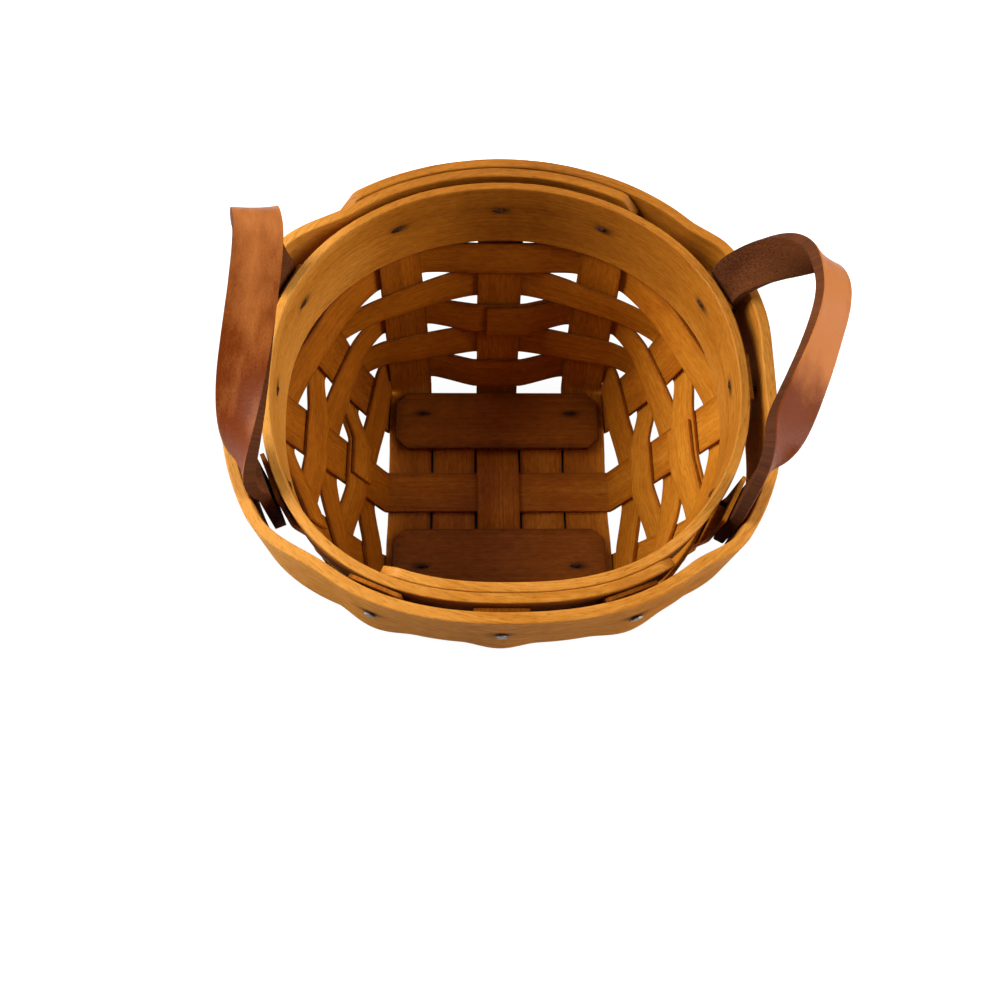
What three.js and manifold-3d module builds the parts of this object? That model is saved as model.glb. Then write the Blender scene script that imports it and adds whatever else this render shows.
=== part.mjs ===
// Small splint basket: a square plaited base, a woven wall that rounds out to an oval rim,
// two bent rim bands, two loose boards tacked in the bottom and two leather ear handles.
// Millimetres, +Z up. The front is -Y, the right is +X, and the origin is on the table
// under the middle of the whole object.
import * as THREE from "three";
import { mergeVertices } from "three/addons/utils/BufferGeometryUtils.js";
import Module from "manifold-3d";

const wasm = await Module();
wasm.setup();

// The bowl, measured on the middle surface that the uprights follow
const RIM_HEIGHT = 73;
const RIM_HALF_X = 59.6;
const RIM_HALF_Y = 58.4;
const RIM_FLARE = 2.2; // how much further out the rim's top is than its lower edge, at front and back
const SIDE_FLARE = 0.7; // the same at the left and right
const RIM_BEND = 2; // half the height over which an upright turns from the wall to the rim
const FOOT_HEIGHT = 5; // where the wall leaves its bend at the floor
const FOOT_BEND = 3.2; // how far the wall stands outside the floor's edge there
const FOOT_SQUARENESS = 8; // superellipse exponent at the foot
const BACK_SQUARENESS = 2.05; // at the rim's back, nearly an ellipse
const FRONT_SQUARENESS = 2.4; // at the rim's front, with fuller shoulders
const ROUNDING_RATE = 2.3; // how fast the square turns round on its way up

// Splints
const UPRIGHT_WIDTH = 12.7;
const UPRIGHT_THICKNESS = 1;
const UPRIGHT_SETBACK = 2; // from the rim's top edge down to the uprights' ends
const FLOOR_SLIT = 0.65; // between neighbouring strips of the floor
const FILLER_SETBACK = 0.6; // from the floor's edge to a filler's end
const WEAVER_THICKNESS = 1;
const LOWEST_ROW = 5.7; // lower edge of the first row of weaving
const ROW_PITCH = 9.35;
const ROW_GAP = 0.5;
const WEAVER_END = 3.5; // how far a weaver's end reaches past the middle of an upright
const TURN_ROOM = 0.4; // from an upright's edge to where a weaver starts to turn
const TURN_PULL = 0.14; // how far a weaver keeps its direction there, as a share of the open span
const FIT_GAP = 0.3; // air between faces that lie on each other

// Rim bands
const BAND_HEIGHT = 19;
const INNER_BAND_THICKNESS = 2.2;
const OUTER_BAND_THICKNESS = 2.8;
const INNER_BAND_START = -120; // degrees from +X, seen from above
const INNER_BAND_LAP = 68; // degrees of double band at the front
const OUTER_BAND_START = 130;
const OUTER_BAND_LAP = 75; // degrees of double band at the back
const LAP_EASE = 50; // degrees over which a lapped band comes back to its seat
const BAND_END_CLIP = 4; // clipped corners at a band's ends
const BAND_SKIRT = 1.5; // how far the outer band's lower edge stands off where no leather holds it off
const BAND_RIPPLE = 1.3; // how much further an upright pushes it out
const RIPPLE_REACH = 9; // degrees to each side of an upright
const LEFT_SLACK = 1.6; // spare room beside the leather on the left
const RIGHT_SLACK = 0.3; // and on the right
const SLACK_INSIDE = 0.3; // the share of it on the strap's inner side
const LEFT_REACH = 42; // degrees beyond the leather over which the outer band comes back in, on the left
const RIGHT_REACH = 27; // and on the right

// Boards tacked in the bottom
const BOARD_DEPTH = 19.2;
const BOARD_THICKNESS = 1.6;
const BOARD_SETBACK = 0.6; // from the floor's edge to the board's long side
const BOARD_END_SETBACK = 1.9; // from the floor's edge to the board's ends
const BOARD_CLIP = 3.6; // clipped corners

// Leather ears
const STRAP_WIDTH = 11;
const STRAP_THICKNESS = 2.8;
const STRAP_TUCK = 14; // how deep a strap's end goes between the bands
// Each ear's shape: the place of its crest, how far its front and back legs keep the direction they
// leave the rim with and how far they keep the crest's direction. Then, in degrees, how far each leg leans
// out of the wall's slope, the sideways tilt of the crest, its turn towards the basket and its climb.
const LEFT_EAR = {
  crest: [-56.7, 22.4, 99.5],
  legPulls: [11.8, 9.6],
  crestPulls: [13.2, 11.1],
  leans: [38, 28],
  tilt: -18,
  turn: -12.8,
  climb: -7.3,
};
const RIGHT_EAR = {
  crest: [75.9, 7.6, 85.1],
  legPulls: [25.4, 6],
  crestPulls: [18.3, 25.9],
  leans: [-3.5, 8.5],
  tilt: -41.7,
  turn: -15.4,
  climb: 23.4,
};
const FLEX_RISE = 0.5; // the ears bend about a line this far above the rim
const FLEX_RADIUS = 7; // the bend zone's radius about that line
const FLEX_GAP = 0.35;

// Tacks
const TACK_DROP = 8; // below the rim's top edge
const TACK_SHANK_RADIUS = 0.6;
const TACK_HEAD_RADIUS = 1.6;
const TACK_HEAD_HEIGHT = 0.75;
const TACK_CROWN = 0.8; // the flat of the head, as a share of its radius
const TACK_POINT = 0.5; // the point's radius, as a share of the clinch's
const TACK_HOLE_ROOM = 0.2;
const CLINCH_LENGTH = 2.8; // the bent-over point
const CLINCH_RADIUS = 0.45;
const BOARD_TACK_INSET = 2.7; // from the inner edge of the outermost floor strip
const BOARD_TACK_FROM_EDGE = 8; // from the floor's edge

// Facets
const FOOT_STEPS = 5; // round the bend at the foot
const WALL_STEPS = 7; // up the wall to the rim
const PLAIT_STEPS = 6; // between two crossings of the floor
const TURN_STEPS = 4; // between two crossings of a weaver
const BAND_STEP = 6; // degrees
const LEG_STEPS = 9; // along half an ear
const ROUND_SIDES = 8;
const FLEX_SIDES = 32;

// Sizes that follow from those above
const floorPitch = UPRIGHT_WIDTH + FLOOR_SLIT;
const floorHalf = 2 * floorPitch + UPRIGHT_WIDTH / 2;
const footHalf = floorHalf + FOOT_BEND;
const bandBottom = RIM_HEIGHT - BAND_HEIGHT;
const rowCount = Math.floor((bandBottom - LOWEST_ROW) / ROW_PITCH);
const floorLevels = [0, 1, 2].map((i) => UPRIGHT_THICKNESS / 2 + i * (UPRIGHT_THICKNESS + FIT_GAP));
const boardBottom = floorLevels[2] + UPRIGHT_THICKNESS / 2 + FIT_GAP;
const boardTop = boardBottom + BOARD_THICKNESS;
const weaverSeat = (UPRIGHT_THICKNESS + WEAVER_THICKNESS) / 2 + FIT_GAP;
const weaverLayer = WEAVER_THICKNESS + FIT_GAP;
const strapSeat = (UPRIGHT_THICKNESS + STRAP_THICKNESS) / 2 + FIT_GAP;
// A flat strip's edges stand proud of the round band that presses on its middle.
const proud = (width) => width ** 2 / (8 * RIM_HALF_Y);
const innerBandSeat = UPRIGHT_THICKNESS / 2 + FIT_GAP + INNER_BAND_THICKNESS / 2;
const outerBandSeat = UPRIGHT_THICKNESS / 2 + proud(UPRIGHT_WIDTH) + FIT_GAP + OUTER_BAND_THICKNESS / 2;
const leatherRoom = strapSeat + STRAP_THICKNESS / 2 + proud(STRAP_WIDTH) + FIT_GAP
  + OUTER_BAND_THICKNESS / 2 - outerBandSeat;

const UP = new THREE.Vector3(0, 0, 1);
const radians = THREE.MathUtils.degToRad;
const mix = THREE.MathUtils.lerp;
const ease = THREE.MathUtils.smoothstep;
const shifted = (point, direction, distance) => point.clone().addScaledVector(direction, distance);

// The finishes
const finish = (color, roughness, metalness = 0) => ({ color, roughness, metalness });
const SPLINT_WOOD = finish(0xa86624, 0.55);
const BAND_WOOD = finish(0xd0913f, 0.5);
const BOARD_WOOD = finish(0x8a4a18, 0.55);
const LEATHER = finish(0xa85a2c, 0.6);
const STEEL = finish(0x9a9690, 0.35, 1);

const basket = new THREE.Group();

function addPiece(name, geometry, look) {
  const piece = new THREE.Mesh(geometry, new THREE.MeshStandardMaterial(look));
  piece.name = name;
  basket.add(piece);
  return piece;
}

// Solids for joining and cutting
function solidOf(geometry) {
  const bare = geometry.clone();
  bare.deleteAttribute("normal");
  bare.deleteAttribute("uv");
  const merged = mergeVertices(bare, 1e-5);
  const vertProperties = new Float32Array(merged.attributes.position.array);
  const triVerts = new Uint32Array(merged.index.array);
  return new wasm.Manifold(new wasm.Mesh({ numProp: 3, vertProperties, triVerts }));
}

function geometryOf(solid) {
  const { vertProperties, triVerts } = solid.getMesh();
  const geometry = new THREE.BufferGeometry();
  geometry.setAttribute("position", new THREE.BufferAttribute(vertProperties, 3));
  geometry.setIndex(new THREE.BufferAttribute(triVerts, 1));
  return geometry;
}

const cutBy = (geometry, tools) =>
  geometryOf(tools.reduce((solid, tool) => solid.subtract(tool), solidOf(geometry)));

// A flat strip of wood or leather through stations that give its two edges, centred in thickness
function ribbon(stations, thickness) {
  const middles = stations.map(({ low, high }) => low.clone().lerp(high, 0.5));
  const corners = [];
  stations.forEach(({ low, high }, i) => {
    const ahead = middles[Math.min(i + 1, middles.length - 1)];
    const behind = middles[Math.max(i - 1, 0)];
    const face = ahead.clone().sub(behind).cross(high.clone().sub(low)).normalize();
    for (const [edge, side] of [[low, -1], [low, 1], [high, 1], [high, -1]]) {
      corners.push(shifted(edge, face, side * thickness / 2));
    }
  });
  const faces = [];
  const last = 4 * (stations.length - 1);
  for (let ring = 0; ring < last; ring += 4) {
    for (let side = 0; side < 4; side += 1) {
      const next = (side + 1) % 4;
      faces.push(ring + side, ring + next, ring + 4 + next);
      faces.push(ring + side, ring + 4 + next, ring + 4 + side);
    }
  }
  faces.push(0, 2, 1, 0, 3, 2);
  faces.push(last, last + 1, last + 2, last, last + 2, last + 3);
  if (signedVolume(corners, faces) < 0) {
    faces.reverse();
  }
  const geometry = new THREE.BufferGeometry().setFromPoints(corners);
  geometry.setIndex(faces);
  return geometry;
}

function signedVolume(points, faces) {
  let volume = 0;
  for (let i = 0; i < faces.length; i += 3) {
    const [a, b, c] = [points[faces[i]], points[faces[i + 1]], points[faces[i + 2]]];
    volume += a.dot(b.clone().cross(c)) / 6;
  }
  return volume;
}

// The wall's outline at a height: half sizes along X and Y, and how square it is
function outline(z) {
  const toRim = (z - FOOT_HEIGHT) / (bandBottom - FOOT_HEIGHT);
  const half = (rimHalf, flare) => {
    const kneeHalf = rimHalf - flare;
    const wallSlope = (kneeHalf - footHalf) / (bandBottom - FOOT_HEIGHT);
    const rimSlope = flare / BAND_HEIGHT;
    const past = THREE.MathUtils.clamp(z - bandBottom + RIM_BEND, 0, 2 * RIM_BEND);
    const bend = (rimSlope - wallSlope) * past ** 2 / (4 * RIM_BEND);
    const beyond = Math.max(z - bandBottom - RIM_BEND, 0) * (rimSlope - wallSlope);
    return kneeHalf + wallSlope * (z - bandBottom) + bend + beyond;
  };
  const footShare = Math.max(1 - toRim, 0) ** ROUNDING_RATE;
  return { a: half(RIM_HALF_X, SIDE_FLARE), b: half(RIM_HALF_Y, RIM_FLARE), footShare };
}

// The superellipse exponent of an outline towards the front (-1), the sides (0) or the back (1)
function exponentOf({ footShare }, facing) {
  return mix(mix(FRONT_SQUARENESS, BACK_SQUARENESS, (facing + 1) / 2), FOOT_SQUARENESS, footShare);
}

// The point of an outline in a direction, in degrees from +X
function outlinePoint(shape, angle) {
  const [x, y] = [Math.cos(radians(angle)), Math.sin(radians(angle))];
  const exponent = exponentOf(shape, y);
  const sum = Math.abs(x / shape.a) ** exponent + Math.abs(y / shape.b) ** exponent;
  const reach = sum ** (-1 / exponent);
  return new THREE.Vector2(x * reach, y * reach);
}

// The outward direction of an outline at one of its points
function outward(x, y, shape) {
  const exponent = exponentOf(shape, y / shape.b);
  const pull = (value, half) => Math.sign(value) * Math.abs(value / half) ** (exponent - 1) / half;
  return new THREE.Vector3(pull(x, shape.a), pull(y, shape.b), 0).normalize();
}

// The twelve ends of the six splints, clockwise from above, with their place on the floor
// in strip pitches and their direction at the rim in degrees
const UPRIGHTS = [
  { name: "back_left", wall: "y", side: 1, step: -2, angle: 119 },
  { name: "back_middle", wall: "y", side: 1, step: 0, angle: 90 },
  { name: "back_right", wall: "y", side: 1, step: 2, angle: 61 },
  { name: "right_back", wall: "x", side: 1, step: 2, angle: 25 },
  { name: "right_middle", wall: "x", side: 1, step: 0, angle: 0 },
  { name: "right_front", wall: "x", side: 1, step: -2, angle: -32 },
  { name: "front_right", wall: "y", side: -1, step: 2, angle: -64 },
  { name: "front_middle", wall: "y", side: -1, step: 0, angle: -92 },
  { name: "front_left", wall: "y", side: -1, step: -2, angle: -119 },
  { name: "left_front", wall: "x", side: -1, step: -2, angle: -154 },
  { name: "left_middle", wall: "x", side: -1, step: 0, angle: 180 },
  { name: "left_back", wall: "x", side: -1, step: 2, angle: 154 },
];
const uprightNamed = (name) => UPRIGHTS.find((end) => end.name === name);

function uprightPoint(end, z) {
  const shape = outline(z);
  const climb = (z - FOOT_HEIGHT) / (RIM_HEIGHT - FOOT_HEIGHT);
  const onX = end.wall === "x";
  const rimPoint = outlinePoint(outline(RIM_HEIGHT), end.angle);
  const place = mix(end.step * floorPitch, onX ? rimPoint.y : rimPoint.x, climb);
  const [reach, breadth] = onX ? [shape.a, shape.b] : [shape.b, shape.a];
  const exponent = exponentOf(shape, onX ? place / breadth : end.side);
  const depth = end.side * reach * (1 - Math.abs(place / breadth) ** exponent) ** (1 / exponent);
  return onX ? new THREE.Vector3(depth, place, z) : new THREE.Vector3(place, depth, z);
}

// Where an upright is at a height, and its directions: along the wall, outwards and up the slope
function uprightFrame(end, z) {
  const point = uprightPoint(end, z);
  const out = outward(point.x, point.y, outline(z));
  const along = UP.clone().cross(out);
  const slope = uprightPoint(end, z + 0.5).sub(uprightPoint(end, z - 0.5));
  const lean = 1 / Math.hypot(1, slope.dot(out));
  return { point, out, along, slope, lean };
}

// A place beside an upright: square distance from its middle surface, and distance along the wall
function beside(frame, distance, aside = 0) {
  return shifted(frame.point, frame.out, distance / frame.lean).addScaledVector(frame.along, aside);
}

// Splints that cross the floor and stand up in the wall
function wallStations(end) {
  const top = RIM_HEIGHT - UPRIGHT_SETBACK;
  const knee = [bandBottom - RIM_BEND, bandBottom, bandBottom + RIM_BEND];
  const heights = [];
  for (let i = 0; i < WALL_STEPS; i += 1) {
    heights.push(mix(FOOT_HEIGHT, knee[0], i / WALL_STEPS));
  }
  heights.push(...knee, (knee[2] + top) / 2, top);
  return heights.map((z) => {
    const frame = uprightFrame(end, z);
    return { point: frame.point, across: frame.along.multiplyScalar(end.side) };
  });
}

function footStations(end, level, floorAcross) {
  const foot = uprightFrame(end, FOOT_HEIGHT);
  const place = end.step * floorPitch;
  const edge = end.side * (floorHalf + FIT_GAP);
  const start = end.wall === "x"
    ? new THREE.Vector3(edge, place, level)
    : new THREE.Vector3(place, edge, level);
  const corner = shifted(foot.point, foot.slope, level - FOOT_HEIGHT);
  const bend = new THREE.QuadraticBezierCurve3(start, corner, foot.point);
  const footAcross = foot.along.multiplyScalar(end.side);
  const stations = [];
  for (let step = 0; step < FOOT_STEPS; step += 1) {
    const t = step / FOOT_STEPS;
    stations.push({
      point: bend.getPoint(t),
      across: floorAcross.clone().lerp(footAcross, t).normalize(),
    });
  }
  return stations;
}

function edgesOf({ point, across }, width) {
  return { low: shifted(point, across, -width / 2), high: shifted(point, across, width / 2) };
}

// The floor is plaited one over one: the lengthwise strips dip under or rise over the crosswise ones.
const crossingEdge = UPRIGHT_WIDTH / 2 + TURN_ROOM;
const nextCrossingEdge = 2 * floorPitch - crossingEdge;

function plaitHeight(y, risesInMiddle) {
  const toSide = ease(Math.abs(y), crossingEdge, nextCrossingEdge);
  return mix(floorLevels[0], floorLevels[2], risesInMiddle ? 1 - toSide : toSide);
}

function plaitStations(x, halfLength, risesInMiddle) {
  const half = [];
  for (let i = 0; i <= PLAIT_STEPS; i += 1) {
    half.push(mix(crossingEdge, nextCrossingEdge, i / PLAIT_STEPS));
  }
  half.push(halfLength);
  const places = [...half.map((y) => -y).reverse(), ...half];
  return places.map((y) => ({
    point: new THREE.Vector3(x, y, plaitHeight(y, risesInMiddle)),
    across: new THREE.Vector3(1, 0, 0),
  }));
}

function standingSplint(startName, endName, floorStations, floorAcross, level) {
  const [start, end] = [uprightNamed(startName), uprightNamed(endName)];
  const turned = (stations, sign) =>
    stations.map(({ point, across }) => ({ point, across: across.clone().multiplyScalar(sign) }));
  const endAcross = uprightFrame(end, FOOT_HEIGHT).along.multiplyScalar(end.side);
  const facing = Math.sign(endAcross.dot(floorAcross));
  const rise = (which) => [
    ...footStations(which, level, floorAcross.clone().multiplyScalar(facing)),
    ...wallStations(which),
  ];
  const stations = [
    ...turned(rise(start).reverse(), facing),
    ...floorStations,
    ...turned(rise(end), facing),
  ];
  return ribbon(stations.map((station) => edgesOf(station, UPRIGHT_WIDTH)), UPRIGHT_THICKNESS);
}

const splints = {};
for (const [place, step] of [["left", -2], ["middle", 0], ["right", 2]]) {
  const risesInMiddle = step === 0;
  const level = plaitHeight(floorHalf, risesInMiddle);
  const stations = plaitStations(step * floorPitch, nextCrossingEdge + TURN_ROOM, risesInMiddle);
  splints[`lengthwise_splint_${place}`] = standingSplint(
    `front_${place}`, `back_${place}`, stations, new THREE.Vector3(1, 0, 0), level,
  );
}
for (const [place, step] of [["front", -2], ["middle", 0], ["back", 2]]) {
  const stations = [-1, 0, 1].map((share) => ({
    point: new THREE.Vector3(share * floorHalf / 2, step * floorPitch, floorLevels[1]),
    across: new THREE.Vector3(0, 1, 0),
  }));
  splints[`crosswise_splint_${place}`] = standingSplint(
    `left_${place}`, `right_${place}`, stations, new THREE.Vector3(0, 1, 0), floorLevels[1],
  );
}
for (const [place, step] of [["left", -1], ["right", 1]]) {
  const stations = plaitStations(step * floorPitch, floorHalf - FILLER_SETBACK, false);
  addPiece(
    `floor_filler_${place}`,
    ribbon(stations.map((station) => edgesOf(station, UPRIGHT_WIDTH)), UPRIGHT_THICKNESS),
    SPLINT_WOOD,
  );
}

// Weavers: over one upright and under the next, each row opposite to the one below, with lapped ends
const LAP_UPRIGHT_COUNT = 2;
const LAP_STARTS = [7, 10, 1, 4, 9]; // the upright where each row starts, from the lowest row

// How far an upright bows towards a weaver out of the straight line between the row's two edges
function bowTowards(side, end, bottom, top) {
  const [low, middle, high] = [bottom, (bottom + top) / 2, top].map((z) => uprightFrame(end, z));
  const bows = [-UPRIGHT_WIDTH / 2, 0, UPRIGHT_WIDTH / 2].map((aside) => {
    const chord = beside(low, 0, aside).lerp(beside(high, 0, aside), 0.5);
    return side * beside(middle, 0, aside).sub(chord).dot(middle.out) * middle.lean;
  });
  return Math.max(...bows, 0);
}

function weaverRail(row, start, bottom, top, z) {
  const rail = [];
  const total = UPRIGHTS.length + LAP_UPRIGHT_COUNT;
  let leaving = null;
  for (let count = 0; count < total; count += 1) {
    const index = (start + count) % UPRIGHTS.length;
    const side = (index + row) % 2 === 0 ? -1 : 1;
    const first = count < LAP_UPRIGHT_COUNT;
    const last = count >= UPRIGHTS.length;
    let seat = side * (weaverSeat + bowTowards(side, UPRIGHTS[index], bottom, top));
    if (first && side < 0) {
      seat -= weaverLayer;
    }
    if (last && side > 0) {
      seat += weaverLayer;
    }
    // The path runs clockwise, against the direction of the frame's along.
    const frame = uprightFrame(UPRIGHTS[index], z);
    const edge = UPRIGHT_WIDTH / 2 + TURN_ROOM;
    const arrive = beside(frame, seat, count === 0 ? WEAVER_END : edge);
    const leave = beside(frame, seat, count === total - 1 ? -WEAVER_END : -edge);
    const heading = frame.along.clone().negate();
    if (leaving) {
      const pull = leaving.point.distanceTo(arrive) * TURN_PULL;
      const turn = new THREE.CubicBezierCurve3(
        leaving.point,
        shifted(leaving.point, leaving.heading, pull),
        shifted(arrive, heading, -pull),
        arrive,
      );
      for (let step = 1; step <= TURN_STEPS; step += 1) {
        rail.push(turn.getPoint(step / (TURN_STEPS + 1)));
      }
    }
    rail.push(arrive, leave);
    leaving = { point: leave, heading };
  }
  return rail;
}

for (let row = 1; row <= rowCount; row += 1) {
  const start = LAP_STARTS[(row - 1) % LAP_STARTS.length];
  const bottom = LOWEST_ROW + (row - 1) * ROW_PITCH;
  const top = bottom + ROW_PITCH - ROW_GAP;
  const low = weaverRail(row, start, bottom, top, bottom);
  const high = weaverRail(row, start, bottom, top, top);
  const stations = low.map((point, i) => ({ low: point, high: high[i] }));
  addPiece(`weaver_row_${row}`, ribbon(stations, WEAVER_THICKNESS), SPLINT_WOOD);
}

// Rim bands: bent strips whose ends lap, seated against the uprights
function rimFrame(angle, z) {
  const shape = outline(z);
  const { x, y } = outlinePoint(shape, angle);
  const point = new THREE.Vector3(x, y, z);
  const out = outward(point.x, point.y, shape);
  return { point, out, along: UP.clone().cross(out), lean: 1 / Math.hypot(1, RIM_FLARE / BAND_HEIGHT) };
}

const apart = (angle, other) => {
  const turn = (((angle - other) % 360) + 540) % 360 - 180;
  return Math.abs(turn);
};
const swell = (distance, reach) => (distance < reach ? Math.cos(Math.PI * distance / reach / 2) ** 2 : 0);
// Flat over the strap's own width, then falling away
const strapHalfAngle = THREE.MathUtils.radToDeg(STRAP_WIDTH / 2 / RIM_HALF_Y) + 1;
const earEnds = (side) => [`${side}_front`, `${side}_back`];
const EARS = [
  { side: "left", ...LEFT_EAR, slack: LEFT_SLACK, reach: LEFT_REACH },
  { side: "right", ...RIGHT_EAR, slack: RIGHT_SLACK, reach: RIGHT_REACH },
];

function leatherSwell(angle) {
  let most = 0;
  for (const { side, slack, reach } of EARS) {
    const shares = earEnds(side).map((name) => {
      const distance = Math.max(apart(angle, uprightNamed(name).angle) - strapHalfAngle, 0);
      return swell(distance, reach);
    });
    most = Math.max(most, (leatherRoom + slack) * Math.min(shares[0] + shares[1], 1));
  }
  return most;
}

function ripple(angle) {
  const nearest = Math.min(...UPRIGHTS.map((end) => apart(angle, end.angle)));
  return BAND_RIPPLE * swell(nearest, RIPPLE_REACH);
}

// Each band's middle, as a square distance from the uprights, at a turn in degrees from its start.
// level is 0 at the lower edge and 1 at the top.
const innerBand = {
  start: INNER_BAND_START,
  lap: INNER_BAND_LAP,
  turning: 1,
  thickness: INNER_BAND_THICKNESS,
  offset: (turn) => {
    const lapped = 1 - ease(turn, INNER_BAND_LAP + 2, INNER_BAND_LAP + LAP_EASE);
    return -innerBandSeat - lapped * (INNER_BAND_THICKNESS + FIT_GAP);
  },
};
const outerBand = {
  start: OUTER_BAND_START,
  lap: OUTER_BAND_LAP,
  turning: -1,
  thickness: OUTER_BAND_THICKNESS,
  offset: (turn, level) => {
    const angle = OUTER_BAND_START - turn;
    const lapped = 1 - ease(turn, OUTER_BAND_LAP + 2, OUTER_BAND_LAP + LAP_EASE);
    const leather = leatherSwell(angle);
    const skirt = Math.max(BAND_SKIRT + ripple(angle) - leather, 0);
    const seat = outerBandSeat + leather + (1 - level) * skirt;
    return seat + lapped * (OUTER_BAND_THICKNESS + FIT_GAP);
  },
};

function bandGeometry(band) {
  const total = 360 + band.lap;
  const clipTurn = THREE.MathUtils.radToDeg(BAND_END_CLIP / RIM_HALF_Y);
  const inner = Math.round((total - 2 * clipTurn) / BAND_STEP);
  const turns = [0];
  for (let i = 0; i <= inner; i += 1) {
    turns.push(mix(clipTurn, total - clipTurn, i / inner));
  }
  turns.push(total);
  const stations = turns.map((turn) => {
    const clip = turn === 0 || turn === total ? BAND_END_CLIP : 0;
    const angle = band.start + band.turning * turn;
    const edge = (z) => beside(rimFrame(angle, z), band.offset(turn, (z - bandBottom) / BAND_HEIGHT));
    return { low: edge(bandBottom + clip), high: edge(RIM_HEIGHT - clip) };
  });
  return ribbon(stations, band.thickness);
}

// The band layers that a tack goes through at an angle, as offsets of their middles
function layersAt(band, angle, level) {
  const turn = ((band.turning * (angle - band.start)) % 360 + 360) % 360;
  const layers = [band.offset(turn, level)];
  if (turn <= band.lap) {
    layers.push(band.offset(turn + 360, level));
  }
  return layers;
}

// Tacks: driven from outside, with the point bent over on the inside
function tackGeometry(headSeat, pointSeat) {
  const profile = [
    [0, pointSeat - CLINCH_RADIUS],
    [TACK_SHANK_RADIUS, pointSeat - CLINCH_RADIUS],
    [TACK_SHANK_RADIUS, headSeat],
    [TACK_HEAD_RADIUS, headSeat],
    [TACK_HEAD_RADIUS * TACK_CROWN, headSeat + TACK_HEAD_HEIGHT * TACK_CROWN],
    [0, headSeat + TACK_HEAD_HEIGHT],
  ].map(([radius, height]) => new THREE.Vector2(radius, height));
  const nail = new THREE.LatheGeometry(profile, ROUND_SIDES);
  const tip = CLINCH_RADIUS * TACK_POINT;
  const clinch = new THREE.CylinderGeometry(tip, CLINCH_RADIUS, CLINCH_LENGTH, ROUND_SIDES);
  clinch.rotateZ(-Math.PI / 2);
  clinch.translate(CLINCH_LENGTH / 2, pointSeat - CLINCH_RADIUS, 0);
  return geometryOf(solidOf(nail).add(solidOf(clinch)));
}

function tackHole(placed, headSeat, pointSeat) {
  const length = headSeat - pointSeat + 2 * TACK_HEAD_HEIGHT;
  const radius = TACK_SHANK_RADIUS + TACK_HOLE_ROOM;
  const drill = new THREE.CylinderGeometry(radius, radius, length, ROUND_SIDES);
  drill.translate(0, (headSeat + pointSeat) / 2, 0);
  return solidOf(drill.applyMatrix4(placed));
}

const rimHoles = {};
for (const end of UPRIGHTS) {
  const frame = uprightFrame(end, RIM_HEIGHT - TACK_DROP);
  // The band stands out most under the lower edge of a tack's head.
  const level = 1 - (TACK_DROP + TACK_HEAD_RADIUS) / BAND_HEIGHT;
  const angle = Math.atan2(frame.point.y, frame.point.x);
  const outer = layersAt(outerBand, THREE.MathUtils.radToDeg(angle), level);
  const inner = layersAt(innerBand, THREE.MathUtils.radToDeg(angle), level);
  const headSeat = Math.max(...outer) + OUTER_BAND_THICKNESS / 2 + FIT_GAP;
  const pointSeat = Math.min(...inner) - INNER_BAND_THICKNESS / 2 - FIT_GAP;
  const square = frame.along.clone().cross(frame.slope).normalize();
  const placed = new THREE.Matrix4().makeBasis(frame.along, square, frame.along.clone().cross(square));
  placed.setPosition(frame.point);
  rimHoles[end.name] = tackHole(placed, headSeat, pointSeat);
  const tack = addPiece(`rim_tack_${end.name}`, tackGeometry(headSeat, pointSeat), STEEL);
  tack.applyMatrix4(placed);
}
addPiece("inner_rim_band", cutBy(bandGeometry(innerBand), Object.values(rimHoles)), BAND_WOOD);
addPiece("outer_rim_band", cutBy(bandGeometry(outerBand), Object.values(rimHoles)), BAND_WOOD);

// Boards with clipped corners, tacked through the outermost floor strips
const boardLength = 2 * (floorHalf - BOARD_END_SETBACK);
const boardHoles = {};
for (const [place, side] of [["front", -1], ["back", 1]]) {
  const [endX, long, short] = [boardLength / 2, BOARD_DEPTH / 2, BOARD_DEPTH / 2 - BOARD_CLIP];
  const outlinePoints = [
    [endX, -short], [endX, short], [endX - BOARD_CLIP, long], [BOARD_CLIP - endX, long],
    [-endX, short], [-endX, -short], [BOARD_CLIP - endX, -long], [endX - BOARD_CLIP, -long],
  ].map(([x, y]) => new THREE.Vector2(x, y));
  const board = new THREE.ExtrudeGeometry(new THREE.Shape(outlinePoints), {
    depth: BOARD_THICKNESS, bevelEnabled: false,
  });
  board.translate(0, side * (floorHalf - BOARD_SETBACK - BOARD_DEPTH / 2), boardBottom);
  const holes = [];
  for (const [hand, sign] of [["left", -1], ["right", 1]]) {
    const at = new THREE.Vector3(
      sign * (2 * floorPitch - UPRIGHT_WIDTH / 2 + BOARD_TACK_INSET),
      side * (floorHalf - BOARD_TACK_FROM_EDGE),
      0,
    );
    // The head sits under the crosswise splint, off the table, and the point lies on the board.
    const headSeat = -(floorLevels[1] - UPRIGHT_THICKNESS / 2 - FIT_GAP);
    const pointSeat = -(boardTop + FIT_GAP);
    const placed = new THREE.Matrix4().makeBasis(
      new THREE.Vector3(-sign, 0, 0), new THREE.Vector3(0, 0, -1), new THREE.Vector3(0, -sign, 0),
    );
    placed.setPosition(at);
    holes.push(tackHole(placed, headSeat, pointSeat));
    boardHoles[`${place}_${hand}`] = holes.at(-1);
    addPiece(`board_tack_${place}_${hand}`, tackGeometry(headSeat, pointSeat), STEEL).applyMatrix4(placed);
  }
  addPiece(`base_board_${place}`, cutBy(board, holes), BOARD_WOOD);
}

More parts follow.
